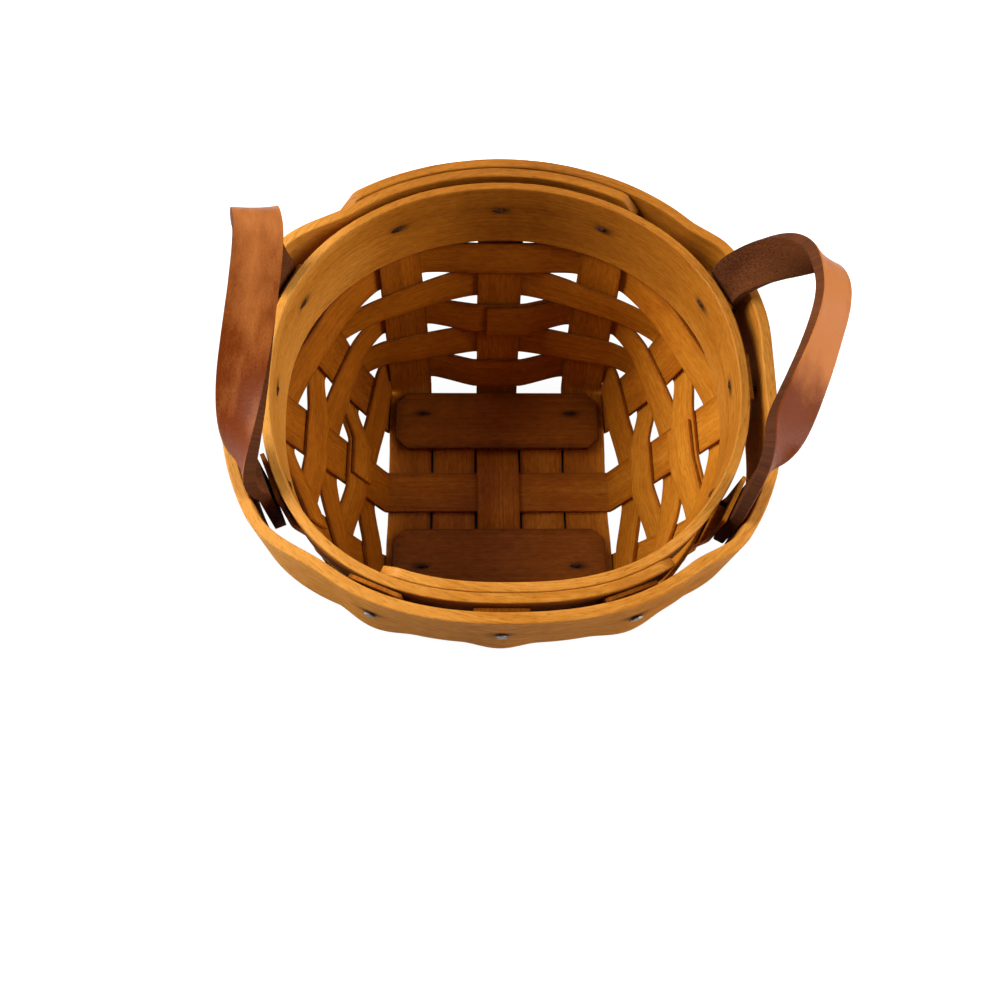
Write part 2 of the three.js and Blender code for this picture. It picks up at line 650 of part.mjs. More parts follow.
// The standing splints get their holes where tacks pass.
const HOLES_IN = {
  lengthwise_splint_left: ["front_left", "back_left"],
  lengthwise_splint_middle: [],
  lengthwise_splint_right: ["front_right", "back_right"],
  crosswise_splint_front: ["front_left", "front_right"],
  crosswise_splint_middle: [],
  crosswise_splint_back: ["back_left", "back_right"],
};
for (const [name, geometry] of Object.entries(splints)) {
  const [kind, , place] = name.split("_");
  const walls = kind === "lengthwise" ? ["front", "back"] : ["left", "right"];
  const ends = walls.map((wall) => `${wall}_${place}`);
  const holes = [...ends.map((end) => rimHoles[end]), ...HOLES_IN[name].map((at) => boardHoles[at])];
  addPiece(name, cutBy(geometry, holes), SPLINT_WOOD);
}

// Leather ears: a strap whose ends are tucked between an upright and the outer band. It bends about
// the line through its two roots, so it stands in two fixed roots and one swinging loop.
function earStations({ side, slack, crest, legPulls, crestPulls, leans, tilt, turn, climb }) {
  const top = new THREE.Vector3(...crest);
  const seat = strapSeat + slack * SLACK_INSIDE;
  const legs = earEnds(side).map((name, i) => {
    const end = uprightNamed(name);
    const frame = uprightFrame(end, RIM_HEIGHT);
    const tuck = [STRAP_TUCK, STRAP_TUCK / 2].map((depth) =>
      beside(uprightFrame(end, RIM_HEIGHT - depth), seat));
    const rise = frame.slope.clone().normalize().applyAxisAngle(frame.along, radians(leans[i]));
    return { frame, root: beside(frame, seat), rise, tuck };
  });
  const chord = legs[1].root.clone().sub(legs[0].root).normalize();
  const over = chord.applyAxisAngle(UP, radians(turn * Math.sign(top.x)));
  const level = over.clone().cross(UP);
  over.applyAxisAngle(level, radians(climb));
  const topAcross = level.applyAxisAngle(over, -radians(tilt));
  const stations = [];
  legs.forEach(({ frame, root, rise, tuck }, i) => {
    const sign = i === 0 ? 1 : -1;
    // Both ends show the same face outwards, so the across direction turns with the strap.
    const rootAcross = frame.along.clone().multiplyScalar(sign);
    const leg = new THREE.CubicBezierCurve3(
      root,
      shifted(root, rise, legPulls[i]),
      shifted(top, over, -sign * crestPulls[i]),
      top,
    );
    const half = tuck.map((point) => ({ point, across: rootAcross }));
    for (let step = 0; step <= LEG_STEPS; step += 1) {
      const t = step / LEG_STEPS;
      const along = leg.getTangent(t);
      const across = rootAcross.clone().lerp(topAcross, ease(t, 0, 1));
      across.addScaledVector(along, -across.dot(along)).normalize();
      half.push({ point: leg.getPoint(t), across });
    }
    stations.push(...(i === 0 ? half : half.reverse().slice(1)));
  });
  return { stations, roots: legs.map(({ root }) => root) };
}

function flexZone(roots, radius) {
  const axis = roots[1].clone().sub(roots[0]);
  const middle = roots[0].clone().lerp(roots[1], 0.5).addScaledVector(UP, FLEX_RISE);
  const zone = new THREE.CylinderGeometry(radius, radius, axis.length() + 4 * STRAP_WIDTH, FLEX_SIDES);
  const standing = new THREE.Vector3(0, 1, 0);
  zone.applyQuaternion(new THREE.Quaternion().setFromUnitVectors(standing, axis.normalize()));
  zone.translate(middle.x, middle.y, middle.z);
  const overall = 2 * (RIM_HALF_X + RIM_HEIGHT);
  const below = new THREE.BoxGeometry(overall, overall, RIM_HEIGHT);
  below.translate(0, 0, middle.z - RIM_HEIGHT / 2);
  return solidOf(zone).add(solidOf(below));
}

for (const ear of EARS) {
  const { stations, roots } = earStations(ear);
  const strap = (list) => {
    const edges = list.map((station) => edgesOf(station, STRAP_WIDTH));
    return solidOf(ribbon(edges, STRAP_THICKNESS));
  };
  const half = Math.ceil(stations.length / 2);
  const fixed = flexZone(roots, FLEX_RADIUS);
  earEnds(ear.side).forEach((end, i) => {
    const leg = strap(i === 0 ? stations.slice(0, half) : stations.slice(half - 1));
    const root = leg.intersect(fixed).subtract(rimHoles[end]);
    addPiece(`${ear.side}_ear_root_${end.split("_")[1]}`, geometryOf(root), LEATHER);
  });
  const loop = strap(stations).subtract(flexZone(roots, FLEX_RADIUS + FLEX_GAP));
  const piece = addPiece(`${ear.side}_ear_loop`, geometryOf(loop), LEATHER);
  piece.userData.bendLine = roots.map((root) => shifted(root, UP, FLEX_RISE));
}

// The origin goes under the middle of the whole object.
const bounds = new THREE.Box3().setFromObject(basket, true);
const centre = bounds.getCenter(new THREE.Vector3());
basket.position.set(-centre.x, -centre.y, -bounds.min.z);

export default basket;
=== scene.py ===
# %% [markdown]
# # A small woven basket
# The real basket is plaited and woven from thin strips of split wood. Six long strips cross in the floor and
# turn up into the wall, five thinner ones are woven round them, two bent bands are tacked round the top, and
# a leather ear stands on the rim at each end. Every one of these pieces was flat before it was bent, so this
# lesson bends each of them from a flat grid along the route that it takes in the basket.

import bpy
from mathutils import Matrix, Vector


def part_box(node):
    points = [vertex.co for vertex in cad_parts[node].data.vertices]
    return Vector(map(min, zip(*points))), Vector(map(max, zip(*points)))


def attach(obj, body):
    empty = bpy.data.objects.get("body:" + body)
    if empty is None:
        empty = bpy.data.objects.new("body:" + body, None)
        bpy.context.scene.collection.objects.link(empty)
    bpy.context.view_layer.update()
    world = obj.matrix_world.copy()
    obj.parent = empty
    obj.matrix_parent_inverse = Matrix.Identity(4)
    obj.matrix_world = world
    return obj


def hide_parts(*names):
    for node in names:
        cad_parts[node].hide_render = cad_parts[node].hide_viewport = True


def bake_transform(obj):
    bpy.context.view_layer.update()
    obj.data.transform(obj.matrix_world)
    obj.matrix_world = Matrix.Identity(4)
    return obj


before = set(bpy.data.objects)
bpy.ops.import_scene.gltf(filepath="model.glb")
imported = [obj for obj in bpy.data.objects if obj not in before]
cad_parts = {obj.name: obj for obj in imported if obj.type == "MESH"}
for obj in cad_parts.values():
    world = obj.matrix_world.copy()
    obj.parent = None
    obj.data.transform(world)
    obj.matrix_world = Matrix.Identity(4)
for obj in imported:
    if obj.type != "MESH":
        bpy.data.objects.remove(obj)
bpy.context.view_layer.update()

from math import atan2, cos, degrees, exp, hypot, pi, radians, sin

import bmesh
import bpy
from mathutils import Matrix, Vector, noise

# %% [markdown]
# ## Where things are
# Sizes are in millimetres from the middle of the floor, as a basket maker would measure them. Blender works
# in metres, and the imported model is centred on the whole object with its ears. The two floor fillers lie
# at the same distance left and right of the floor's middle, so their boxes tell where it is.

# %% From millimetres to the scene
MM = 0.001
filler_corners = [corner for side in ("left", "right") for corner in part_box(f"floor_filler_{side}")]
FLOOR_MIDDLE = sum(filler_corners, Vector()) / 4
FLOOR_MIDDLE.z = 0


def place(point):
    return FLOOR_MIDDLE + MM * Vector(point)


def added(name, data):
    made = bpy.data.objects.new(name, data)
    bpy.context.collection.objects.link(made)
    return made


def mesh_object(name, bm, finishes):
    mesh = bpy.data.meshes.new(name)
    bm.to_mesh(mesh)
    bm.free()
    for finish in finishes:
        mesh.materials.append(finish)
    return added(name, mesh)


print("the floor's middle is at", [round(v, 5) for v in FLOOR_MIDDLE])

# %% [markdown]
# ## The camera
# The photograph looks down into the basket from the front. A camera looks along its own -Z, so it is tipped
# up from the floor plan, turned round the vertical and rolled a little, then moved back from the point that
# it looks at.

# %% Camera
CAMERA_TARGET = (-1.26, -23.73, 50)
CAMERA_DISTANCE = 266.97
CAMERA_TURN, CAMERA_ELEVATION, CAMERA_ROLL = -4.94, 66.12, 4.44
SENSOR_WIDTH, LENS, NEAREST = 36, 38.16, 0.01

camera = added("camera", bpy.data.cameras.new("camera"))
camera.data.sensor_width = SENSOR_WIDTH
camera.data.lens = LENS
camera.data.clip_start = NEAREST
camera.matrix_world = (
    Matrix.Translation(place(CAMERA_TARGET))
    @ Matrix.Rotation(radians(CAMERA_TURN), 4, "Z")
    @ Matrix.Rotation(radians(90 - CAMERA_ELEVATION), 4, "X")
    @ Matrix.Rotation(radians(CAMERA_ROLL), 4, "Z")
    @ Matrix.Translation((0, 0, CAMERA_DISTANCE * MM))
)
bpy.context.scene.camera = camera
print("camera at", [round(v, 3) for v in camera.matrix_world.translation])

# %% [markdown]
# ## How a finish is made
# Finishes are built from nodes, and most of them need the same few: a stored value, a noise stretched along
# the grain, a colour ramp, a blend and a bump. A small helper adds and links them, so that each finish reads
# as a short recipe.

# %% Helpers for finishes
def rgb(code):
    channels = [int(code[i : i + 2], 16) / 255 for i in (0, 2, 4)]
    linear = [c / 12.92 if c <= 0.04045 else ((c + 0.055) / 1.055) ** 2.4 for c in channels]
    return (*linear, 1.0)


def grey(value):
    return (value, value, value, 1.0)


class Finish:
    """A material and a short way to add nodes to it."""

    def __init__(self, name):
        self.material = bpy.data.materials.new(name)
        self.material.use_nodes = True
        self.tree = self.material.node_tree
        self.shader = self.tree.nodes["Principled BSDF"]

    def add(self, kind, inputs=None, output=0, **settings):
        made = self.tree.nodes.new(kind)
        for key, value in settings.items():
            setattr(made, key, value)
        for key, value in (inputs or {}).items():
            self.feed(made.inputs[key], value)
        return made.outputs[output]

    def feed(self, socket, value):
        if isinstance(value, bpy.types.NodeSocket):
            self.tree.links.new(value, socket)
        else:
            socket.default_value = value

    def math(self, operation, first, second):
        return self.add("ShaderNodeMath", {0: first, 1: second}, operation=operation)

    def weighted(self, *parts):
        total = None
        for value, weight in parts:
            part = self.math("MULTIPLY", value, weight)
            total = part if total is None else self.math("ADD", total, part)
        return total

    def attribute(self, name):
        return self.add("ShaderNodeAttribute", output=2, attribute_name=name)

    def noise(self, vector, scale, detail=3.0, roughness=0.55):
        stretched = self.add("ShaderNodeMapping", {"Vector": vector, "Scale": scale})
        return self.add(
            "ShaderNodeTexNoise",
            {"Vector": stretched, "Scale": 1.0, "Detail": detail, "Roughness": roughness},
        )

    def ramp(self, value, stops):
        made = self.tree.nodes.new("ShaderNodeValToRGB")
        points = made.color_ramp.elements
        while len(points) < len(stops):
            points.new(0.5)
        for point, (position, color) in zip(points, stops):
            point.position = position
            point.color = color
        self.feed(made.inputs[0], value)
        return made.outputs[0]

    def blend(self, share, first, second, mode="MIX"):
        made = self.tree.nodes.new("ShaderNodeMix")
        made.data_type = "RGBA"
        made.blend_type = mode
        self.feed(made.inputs["Factor"], share)
        self.feed(made.inputs[6], first)
        self.feed(made.inputs[7], second)
        return made.outputs[2]

    def bump(self, height, strength, distance):
        return self.add("ShaderNodeBump", {"Height": height, "Strength": strength, "Distance": distance})


print("helpers for finishes are ready")

# %% [markdown]
# ## The sheet under the basket
# The basket stands on a plain white sheet with a white wall far behind it. Its openings are bright in the
# photograph although the basket shades the ground there, so the sheet glows by itself, as a light table
# does. Left alone, that glow would light the basket from below. It is therefore linked to the sheet only.
# Under the woven floor the sheet doesn't glow and its paper is nearly black, a painted shadow that keeps
# the slits there dark. Close to the basket the paper is dark too, a painted contact shadow, so that it
# also throws no lamp light back at the basket's wall.

# %% White paper
# UNDER_FLOOR and NEAR_BASKET are the reaches of the painted shadow under and round the basket.
UNDER_FLOOR, NEAR_BASKET = (0.0310, 0.0328), (0.07, 0.14)
PAPER_GLOW, PAPER_SHADED, PAPER_OPEN = 0.95, 0.02, 0.6

paper = Finish("white paper")
on_sheet = paper.add("ShaderNodeTexCoord", output="Object")
on_sheet = paper.add("ShaderNodeVectorMath", {0: on_sheet, 1: FLOOR_MIDDLE}, operation="SUBTRACT")
on_sheet = paper.add("ShaderNodeVectorMath", {0: on_sheet}, operation="ABSOLUTE")
sheet_axes = paper.add("ShaderNodeSeparateXYZ", {0: on_sheet}).node.outputs
from_middle = paper.math("MAXIMUM", sheet_axes["X"], sheet_axes["Y"])


def paper_share(reach, most):
    near, far = reach
    return paper.add(
        "ShaderNodeMapRange", {"Value": from_middle, "From Min": near, "From Max": far, "To Max": most}
    )


# Nearly black paper close to the basket: a painted contact shadow.
paper_with_painted_shadow = paper.ramp(paper_share(NEAR_BASKET, 1.0), [(0, grey(PAPER_SHADED)), (1, grey(PAPER_OPEN))])
paper.feed(paper.shader.inputs["Base Color"], paper_with_painted_shadow)
# No glow under the floor's square: a painted shadow below the slits.
paper.feed(paper.shader.inputs["Emission Strength"], paper_share(UNDER_FLOOR, PAPER_GLOW))
paper.shader.inputs["Emission Color"].default_value = grey(1.0)
paper.shader.inputs["Roughness"].default_value = 0.9
print("paper", paper.material.name)

# %% Sheet and wall
SHEET_RADIUS, BACKDROP_RADIUS, BACKDROP_HEIGHT, STAGE_SIDES = 4.0, 3.9, 6.0, 96
lit_by_glow = bpy.data.collections.new("lit by the sheet's glow")


def picked(made, kind):
    return [item for item in made if isinstance(item, kind)]


def staged(name, bm):
    made = mesh_object(name, bm, [paper.material])
    made.light_linking.receiver_collection = lit_by_glow
    return made


bm = bmesh.new()
bmesh.ops.create_circle(bm, cap_ends=True, segments=STAGE_SIDES, radius=SHEET_RADIUS)
sheet = staged("sheet", bm)
lit_by_glow.objects.link(sheet)

bm = bmesh.new()
bmesh.ops.create_circle(bm, segments=STAGE_SIDES, radius=BACKDROP_RADIUS)
raised = bmesh.ops.extrude_edge_only(bm, edges=bm.edges)["geom"]
bmesh.ops.translate(bm, vec=(0, 0, BACKDROP_HEIGHT), verts=picked(raised, bmesh.types.BMVert))
backdrop = staged("backdrop", bm)
backdrop.visible_diffuse = backdrop.visible_glossy = backdrop.visible_shadow = False
print("stage", sheet.name, backdrop.name)

# %% [markdown]
# ## Light
# Two strong soft lamps at the sides light the inner walls and the bands and leave the floor inside dim, as
# in the photograph. Weaker ones fill the front and the back, and a small low one puts the shine on the
# right ear. Each lamp is turned about the basket as the camera is: azimuth and elevation in degrees, then
# distance and size in metres and power in watts. The picture shows the colours as they are, without a
# film's own contrast.

# %% Lamps
LAMPS = {
    "front_lamp": (-8, 11, 0.9, 0.4, 0.9),
    "right_lamp": (84, 34, 0.9, 0.5, 8.0),
    "side_lamp": (82, 5, 0.9, 0.2, 1.5),
    "left_lamp": (-102, 35, 0.9, 0.5, 13.0),
    "back_lamp": (180, 48, 1.0, 0.6, 2.0),
}
LAMP_AIM_HEIGHT, WORLD_LIGHT = 0.05, 0.13

for name, (azimuth, elevation, distance, size, watts) in LAMPS.items():
    light = bpy.data.lights.new(name, "AREA")
    light.size = size
    light.energy = watts
    lamp = added(name, light)
    lamp.matrix_world = (
        Matrix.Translation((0, 0, LAMP_AIM_HEIGHT))
        @ Matrix.Rotation(radians(azimuth), 4, "Z")
        @ Matrix.Rotation(radians(90 - elevation), 4, "X")
        @ Matrix.Translation((0, 0, distance))
    )

world = bpy.data.worlds.new("studio")
bpy.context.scene.world = world
world.use_nodes = True
sky = world.node_tree.nodes["Background"]
sky.inputs["Color"].default_value = grey(1.0)
sky.inputs["Strength"].default_value = WORLD_LIGHT
bpy.context.scene.view_settings.view_transform = "Standard"
print("lamps", list(LAMPS))

# %% [markdown]
# ## The basket's shape
# The wall starts as a square with round corners and ends as an oval. A superellipse gives both: its exponent
# is high at the foot, where the outline is square, and near two at the rim. The rim's front is a little
# deeper and has fuller shoulders than its back, and the side walls leave the floor steeper than the front
# and back ones. All strips take their places from this one surface.

# %% The wall's outline
RIM_HEIGHT, RIM_HALF_X, RIM_HALF_Y = 73.0, 59.6, 58.4
RIM_FLARE, SIDE_FLARE, RIM_BEND, BAND_HEIGHT = 2.2, 0.7, 2.0, 19.0
FOOT_HEIGHT, FOOT_BEND, SIDE_FOOT_BEND, FOOT_SQUARENESS = 5.0, 3.2, 2.2, 8.0
BACK_SQUARENESS, FRONT_SQUARENESS, ROUNDING_RATE = 2.05, 2.4, 2.3
FRONT_FULLNESS = 0.9
UPRIGHT_WIDTH, UPRIGHT_THICKNESS, FLOOR_SLIT, FIT_GAP = 12.7, 1.0, 0.65, 0.3

UP = Vector((0, 0, 1))
floor_pitch = UPRIGHT_WIDTH + FLOOR_SLIT
floor_half = 2 * floor_pitch + UPRIGHT_WIDTH / 2
band_bottom = RIM_HEIGHT - BAND_HEIGHT


def mix(start, end, share):
    return start + (end - start) * share


def ease(value, start, end):
    share = min(max((value - start) / (end - start), 0), 1)
    return share * share * (3 - 2 * share)


def half_size(z, rim_half, flare, foot_bend):
    knee_half = rim_half - flare
    wall_slope = (knee_half - floor_half - foot_bend) / (band_bottom - FOOT_HEIGHT)
    rim_slope = flare / BAND_HEIGHT
    past = min(max(z - band_bottom + RIM_BEND, 0), 2 * RIM_BEND)
    bend = (rim_slope - wall_slope) * past**2 / (4 * RIM_BEND)
    beyond = max(z - band_bottom - RIM_BEND, 0) * (rim_slope - wall_slope)
    return knee_half + wall_slope * (z - band_bottom) + bend + beyond


def half_sizes(z, y):
    half_x = half_size(z, RIM_HALF_X, SIDE_FLARE, SIDE_FOOT_BEND)
    half_y = half_size(z, RIM_HALF_Y, RIM_FLARE, FOOT_BEND)
    return half_x, half_y + (FRONT_FULLNESS * z / RIM_HEIGHT if y < 0 else 0)


def exponent(z, facing):
    foot_share = max(1 - (z - FOOT_HEIGHT) / (band_bottom - FOOT_HEIGHT), 0) ** ROUNDING_RATE
    return mix(mix(FRONT_SQUARENESS, BACK_SQUARENESS, (facing + 1) / 2), FOOT_SQUARENESS, foot_share)


def outline_point(z, angle):
    x, y = cos(radians(angle)), sin(radians(angle))
    power = exponent(z, y)
    a, b = half_sizes(z, y)
    reach = (abs(x / a) ** power + abs(y / b) ** power) ** (-1 / power)
    return Vector((x * reach, y * reach, z))


def outward(point):
    a, b = half_sizes(point.z, point.y)
    power = exponent(point.z, point.y / b)
    pull_x = abs(point.x / a) ** (power - 1) / a * (1 if point.x > 0 else -1)
    pull_y = abs(point.y / b) ** (power - 1) / b * (1 if point.y > 0 else -1)
    return Vector((pull_x, pull_y, 0)).normalized()


print("half of the rim", [round(v, 1) for v in half_sizes(RIM_HEIGHT, 1)])

# %% [markdown]
# ## The twelve uprights
# Six strips have two ends each, so twelve ends stand in the wall. Each one climbs from its place on the
# floor's edge to its own place on the rim. A small frame at any height of an upright says where it is, which
# way is outwards and which way is along the wall. Everything that touches an upright is set beside it.

# %% Uprights
UPRIGHTS = {
    "back_left": ("y", 1, -2, 119),
    "back_middle": ("y", 1, 0, 90),
    "back_right": ("y", 1, 2, 61),
    "right_back": ("x", 1, 2, 25),
    "right_middle": ("x", 1, 0, 0),
    "right_front": ("x", 1, -2, -32),
    "front_right": ("y", -1, 2, -64),
    "front_middle": ("y", -1, 0, -92),
    "front_left": ("y", -1, -2, -119),
    "left_front": ("x", -1, -2, -154),
    "left_middle": ("x", -1, 0, 180),
    "left_back": ("x", -1, 2, 154),
}
ROUND = list(UPRIGHTS)


def upright_point(name, z):
    wall, side, step, angle = UPRIGHTS[name]
    rim_point = outline_point(RIM_HEIGHT, angle)
    climb = (z - FOOT_HEIGHT) / (RIM_HEIGHT - FOOT_HEIGHT)
    off_middle = mix(step * floor_pitch, rim_point.y if wall == "x" else rim_point.x, climb)
    reach, breadth = half_sizes(z, off_middle) if wall == "x" else half_sizes(z, side)[::-1]
    power = exponent(z, off_middle / breadth if wall == "x" else side)
    depth = side * reach * (1 - abs(off_middle / breadth) ** power) ** (1 / power)
    return Vector((depth, off_middle, z)) if wall == "x" else Vector((off_middle, depth, z))


class Stand:
    """A place on the wall: its point, outwards, along the wall and up its slope."""

    def __init__(self, point, out, slope):
        self.point, self.out, self.slope = point, out, slope
        self.along = UP.cross(out)
        self.lean = 1 / hypot(1, slope.dot(out) / slope.z)

    def beside(self, distance, aside=0.0):
        return self.point + self.out * (distance / self.lean) + self.along * aside


def stand(name, z):
    point = upright_point(name, z)
    slope = upright_point(name, z + 0.5) - upright_point(name, z - 0.5)
    return Stand(point, outward(point), slope)


print("uprights", len(UPRIGHTS))

# %% [markdown]
# ## Bending a strip
# A strip could be extruded along a curve, but then its grain would be hard to follow. Here a flat grid is
# made with its own UV map, and each row of its points is laid between two edge points of the route. The UV
# map is then stretched to the strip's length and width in metres, so that the grain has the same size on
# every strip. A little noise lets the edges wander, as split edges do. Solidify gives the thickness and
# Bevel rounds the edges as wear does. Three values are stored on the points for the finish: how near a
# point is to an edge, its tone, which holds the strip's own tone plus painted light and shade, and how much
# a tack has stained the wood there.

# %% Stains and wandering edges
STAIN_LENGTH, STAIN_WIDTH, STAIN_DEPTH, STAIN_REACH = 2.6, 1.0, 6.0, 7.8
SLOW_RATE, FINE_RATE, FINE_SHARE, WANDER_LIMIT = 0.09, 0.8, 0.35, 0.25
SLOW_PLACE, FINE_PLACE = (3.7, 9.1, 2.3), (5.1, 4.3, 7.7)
tack_marks = []


def stain_at(point, along, across):
    most = 0.0
    for mark in tack_marks:
        offset = point - mark
        if offset.length < STAIN_REACH:
            run, side = offset.dot(along), offset.dot(across)
            through = offset.length_squared - run * run - side * side
            if through < STAIN_DEPTH**2:
                most = max(most, exp(-((run / STAIN_LENGTH) ** 2) - (side / STAIN_WIDTH) ** 2))
    return most


def edge_noise(spot, seed, edge, place_in_noise):
    per_seed, per_edge, depth = place_in_noise
    return noise.noise((spot, seed * per_seed + edge * per_edge, depth))


def wander(spot, seed, edge):
    slow = edge_noise(spot * SLOW_RATE, seed, edge, SLOW_PLACE)
    return slow + edge_noise(spot * FINE_RATE, seed, edge, FINE_PLACE) * FINE_SHARE


print("stains reach", STAIN_REACH, "mm")

# %% A bent strip
SEED_STEP, SHARP_ANGLE = (0.37, 0.113), 50


def bend_strip(
    name, stations, thickness, finishes,
    tone=0.0, painted_light_at=None, across=8, rounding=0.22, ragged=0.1, seed=0.0,
):
    columns = len(stations) - 1
    bm = bmesh.new()
    grain = bm.loops.layers.uv.new("grain")
    bmesh.ops.create_grid(bm, x_segments=columns, y_segments=across, size=1, calc_uvs=True)
    layers = {key: bm.verts.layers.float.new(key) for key in ("edge", "tone", "stain")}
    middles = [(low + high) / 2 for low, high in stations]
    lengths = [0.0]
    for before, after in zip(middles, middles[1:]):
        lengths.append(lengths[-1] + (after - before).length)
    for vert in bm.verts:
        column = round((vert.co.x + 1) / 2 * columns)
        share = (vert.co.y + 1) / 2
        low, high = stations[column]
        side = (high - low).normalized()
        along = (middles[min(column + 1, columns)] - middles[max(column - 1, 0)]).normalized()
        low = low + side * min(wander(lengths[column], seed, 0) * ragged, WANDER_LIMIT)
        high = high + side * max(wander(lengths[column], seed, 1) * ragged, -WANDER_LIMIT)
        point = low.lerp(high, share)
        vert[layers["edge"]] = abs(2 * share - 1)
        # The tone holds the strip's own tone plus the painted light and shade of the given function.
        vert[layers["tone"]] = tone + (painted_light_at(point) if painted_light_at else 0)
        vert[layers["stain"]] = stain_at(point, along, side)
        vert.co = place(point)
    for face in bm.faces:
        for loop in face.loops:
            column = round(loop[grain].uv.x * columns)
            low, high = stations[column]
            width = (high - low).length
            loop[grain].uv = (
                lengths[column] * MM + seed * SEED_STEP[0],
                (loop[grain].uv.y - 0.5) * width * MM + seed * SEED_STEP[1],
            )
    return solid_piece(name, bm, thickness, finishes, rounding)


def solid_piece(name, bm, thickness, finishes, rounding, segments=2):
    piece = mesh_object(name, bm, finishes)
    piece.data.shade_smooth()
    solid = piece.modifiers.new("thickness", "SOLIDIFY")
    solid.thickness = thickness * MM
    solid.offset = 0
    solid.use_even_offset = True
    worn = piece.modifiers.new("worn edges", "BEVEL")
    worn.width = rounding * MM
    worn.segments = segments
    worn.limit_method = "ANGLE"
    worn.angle_limit = radians(SHARP_ANGLE)
    worn.harden_normals = True
    return piece


def finish_piece(piece, node_names):
    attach(piece, "basket")
    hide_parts(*node_names)
    return piece


print("a strip is a grid, a thickness and worn edges")

# %% [markdown]
# ## Wood
# The strips are split or sliced along the grain, stained honey brown and varnished. Four noises share the
# strip's own UV map: long thin streaks, broad soft bands, short flecks and fine dark pores. A fifth one lies
# in space and adds slow clouds. On the thin strips the stain is darker towards the edges, where it soaks in;
# on the bands the edges are paler, a painted highlight, and on the boards they are darker, partly wear and
# partly a painted shadow. Round the tacks iron has turned the wood almost black. Streaks and pores also
# drive a fine bump, and the flecks change the varnish's gloss, so the light breaks on the grain too.

# %% Wood finishes
STREAKS, BANDS, PORES, FLECKS = (22, 2300, 1), (9, 190, 1), (420, 4200, 1), (260, 1100, 1)
CLOUDS, EDGE_FACE, EDGE_MASK_POWER = (45, 45, 45), (0.97, 0.99), 9.0
PORE_COLOR, PORE_SHARE, IRON_COLOR = (0.42, 0.36, 0.3, 1), 0.7, "1c0e08"


def strip_grain(made, where):
    """The strip's own UV map, drawn on over the narrow edge faces, where it would stand still."""
    near, far = EDGE_FACE
    on_edge = made.add(
        "ShaderNodeMapRange", {"Value": made.attribute("edge"), "From Min": near, "From Max": far}
    )
    plan = made.add("ShaderNodeVectorMath", {0: where, 1: (1, 1, 0)}, operation="MULTIPLY")
    depth = made.add("ShaderNodeVectorMath", {0: plan}, output="Value", operation="LENGTH")
    aside = made.add("ShaderNodeCombineXYZ", {"Y": made.math("MULTIPLY", on_edge, depth)})
    flat_grain = made.add("ShaderNodeUVMap", uv_map="grain")
    return made.add("ShaderNodeVectorMath", {0: flat_grain, 1: aside}, operation="ADD")


def wood(name, dark, middle, light, shine, edge_stain_and_light):
    made = Finish(name)
    where = made.add("ShaderNodeTexCoord", output="Object")
    grain = strip_grain(made, where)
    streaks = made.noise(grain, STREAKS, 4.0, 0.6)
    bands = made.noise(grain, BANDS)
    pores = made.noise(grain, PORES, 3.0, 0.6)
    flecks = made.noise(grain, FLECKS, 3.0, 0.6)
    clouds = made.noise(where, CLOUDS)
    # Edge mask: stain on the splints, partly painted shadow on the boards, a painted highlight on the bands.
    near_edge = made.math("POWER", made.attribute("edge"), EDGE_MASK_POWER)
    shade = made.weighted(
        (streaks, 0.4), (flecks, 0.35), (bands, 0.35), (clouds, 0.3),
        (made.attribute("tone"), 1.0), (near_edge, -edge_stain_and_light),
    )
    color = made.ramp(shade, [(0.38, rgb(dark)), (0.7, rgb(middle)), (0.98, rgb(light))])
    pore_dark = made.ramp(pores, [(0.32, PORE_COLOR), (0.46, grey(1.0))])
    color = made.blend(PORE_SHARE, color, pore_dark, "MULTIPLY")
    iron = made.math("MULTIPLY", made.attribute("stain"), made.math("ADD", flecks, 0.6))
    color = made.blend(made.add("ShaderNodeClamp", {0: iron}), color, rgb(IRON_COLOR))
    made.feed(made.shader.inputs["Base Color"], color)
    gloss = made.ramp(flecks, [(0.3, grey(0.62)), (0.7, grey(0.42))])
    made.feed(made.shader.inputs["Roughness"], gloss)
    made.shader.inputs["Specular IOR Level"].default_value = shine
    relief = made.bump(made.weighted((streaks, 0.8), (pores, 0.5)), 0.25, 0.00025)
    made.feed(made.shader.inputs["Normal"], relief)
    return made.material


# Edge weights: splint stain; band edges paler, a painted highlight; board edges darker, partly wear and
# partly painted shadow.
splint_wood = wood("splint wood", "642d04", "9f580c", "c47e22", shine=0.1, edge_stain_and_light=0.16)
band_wood = wood("band wood", "784008", "aa681a", "cc8a38", shine=0.12, edge_stain_and_light=-0.08)
board_wood = wood("board wood", "4e2302", "86470a", "a56216", shine=0.1, edge_stain_and_light=0.24)
print("wood", splint_wood.name, band_wood.name, board_wood.name)

# %% [markdown]
# ## The tacks' places
# Twelve small steel tacks go through the rim, one at each upright, and four through the boards. They are
# made last, but their places are needed now, because the wood is stained round each of them.

# %% Where the tacks go
TACK_DROP = 8.0
BOARD_TACK_INSET, BOARD_TACK_FROM_EDGE, BOARD_STAIN_HEIGHT = 2.7, 8.0, 4.0

rim_tack_stands = {name: stand(name, RIM_HEIGHT - TACK_DROP) for name in ROUND}
board_tack_x = 2 * floor_pitch - UPRIGHT_WIDTH / 2 + BOARD_TACK_INSET
board_tack_y = floor_half - BOARD_TACK_FROM_EDGE
board_tack_spots = {
    f"{row}_{hand}": Vector((sign * board_tack_x, side * board_tack_y, BOARD_STAIN_HEIGHT))
    for row, side in (("front", -1), ("back", 1))
    for hand, sign in (("left", -1), ("right", 1))
}
tack_marks.extend(where.point for where in rim_tack_stands.values())
tack_marks.extend(board_tack_spots.values())
print("tack marks", len(tack_marks))
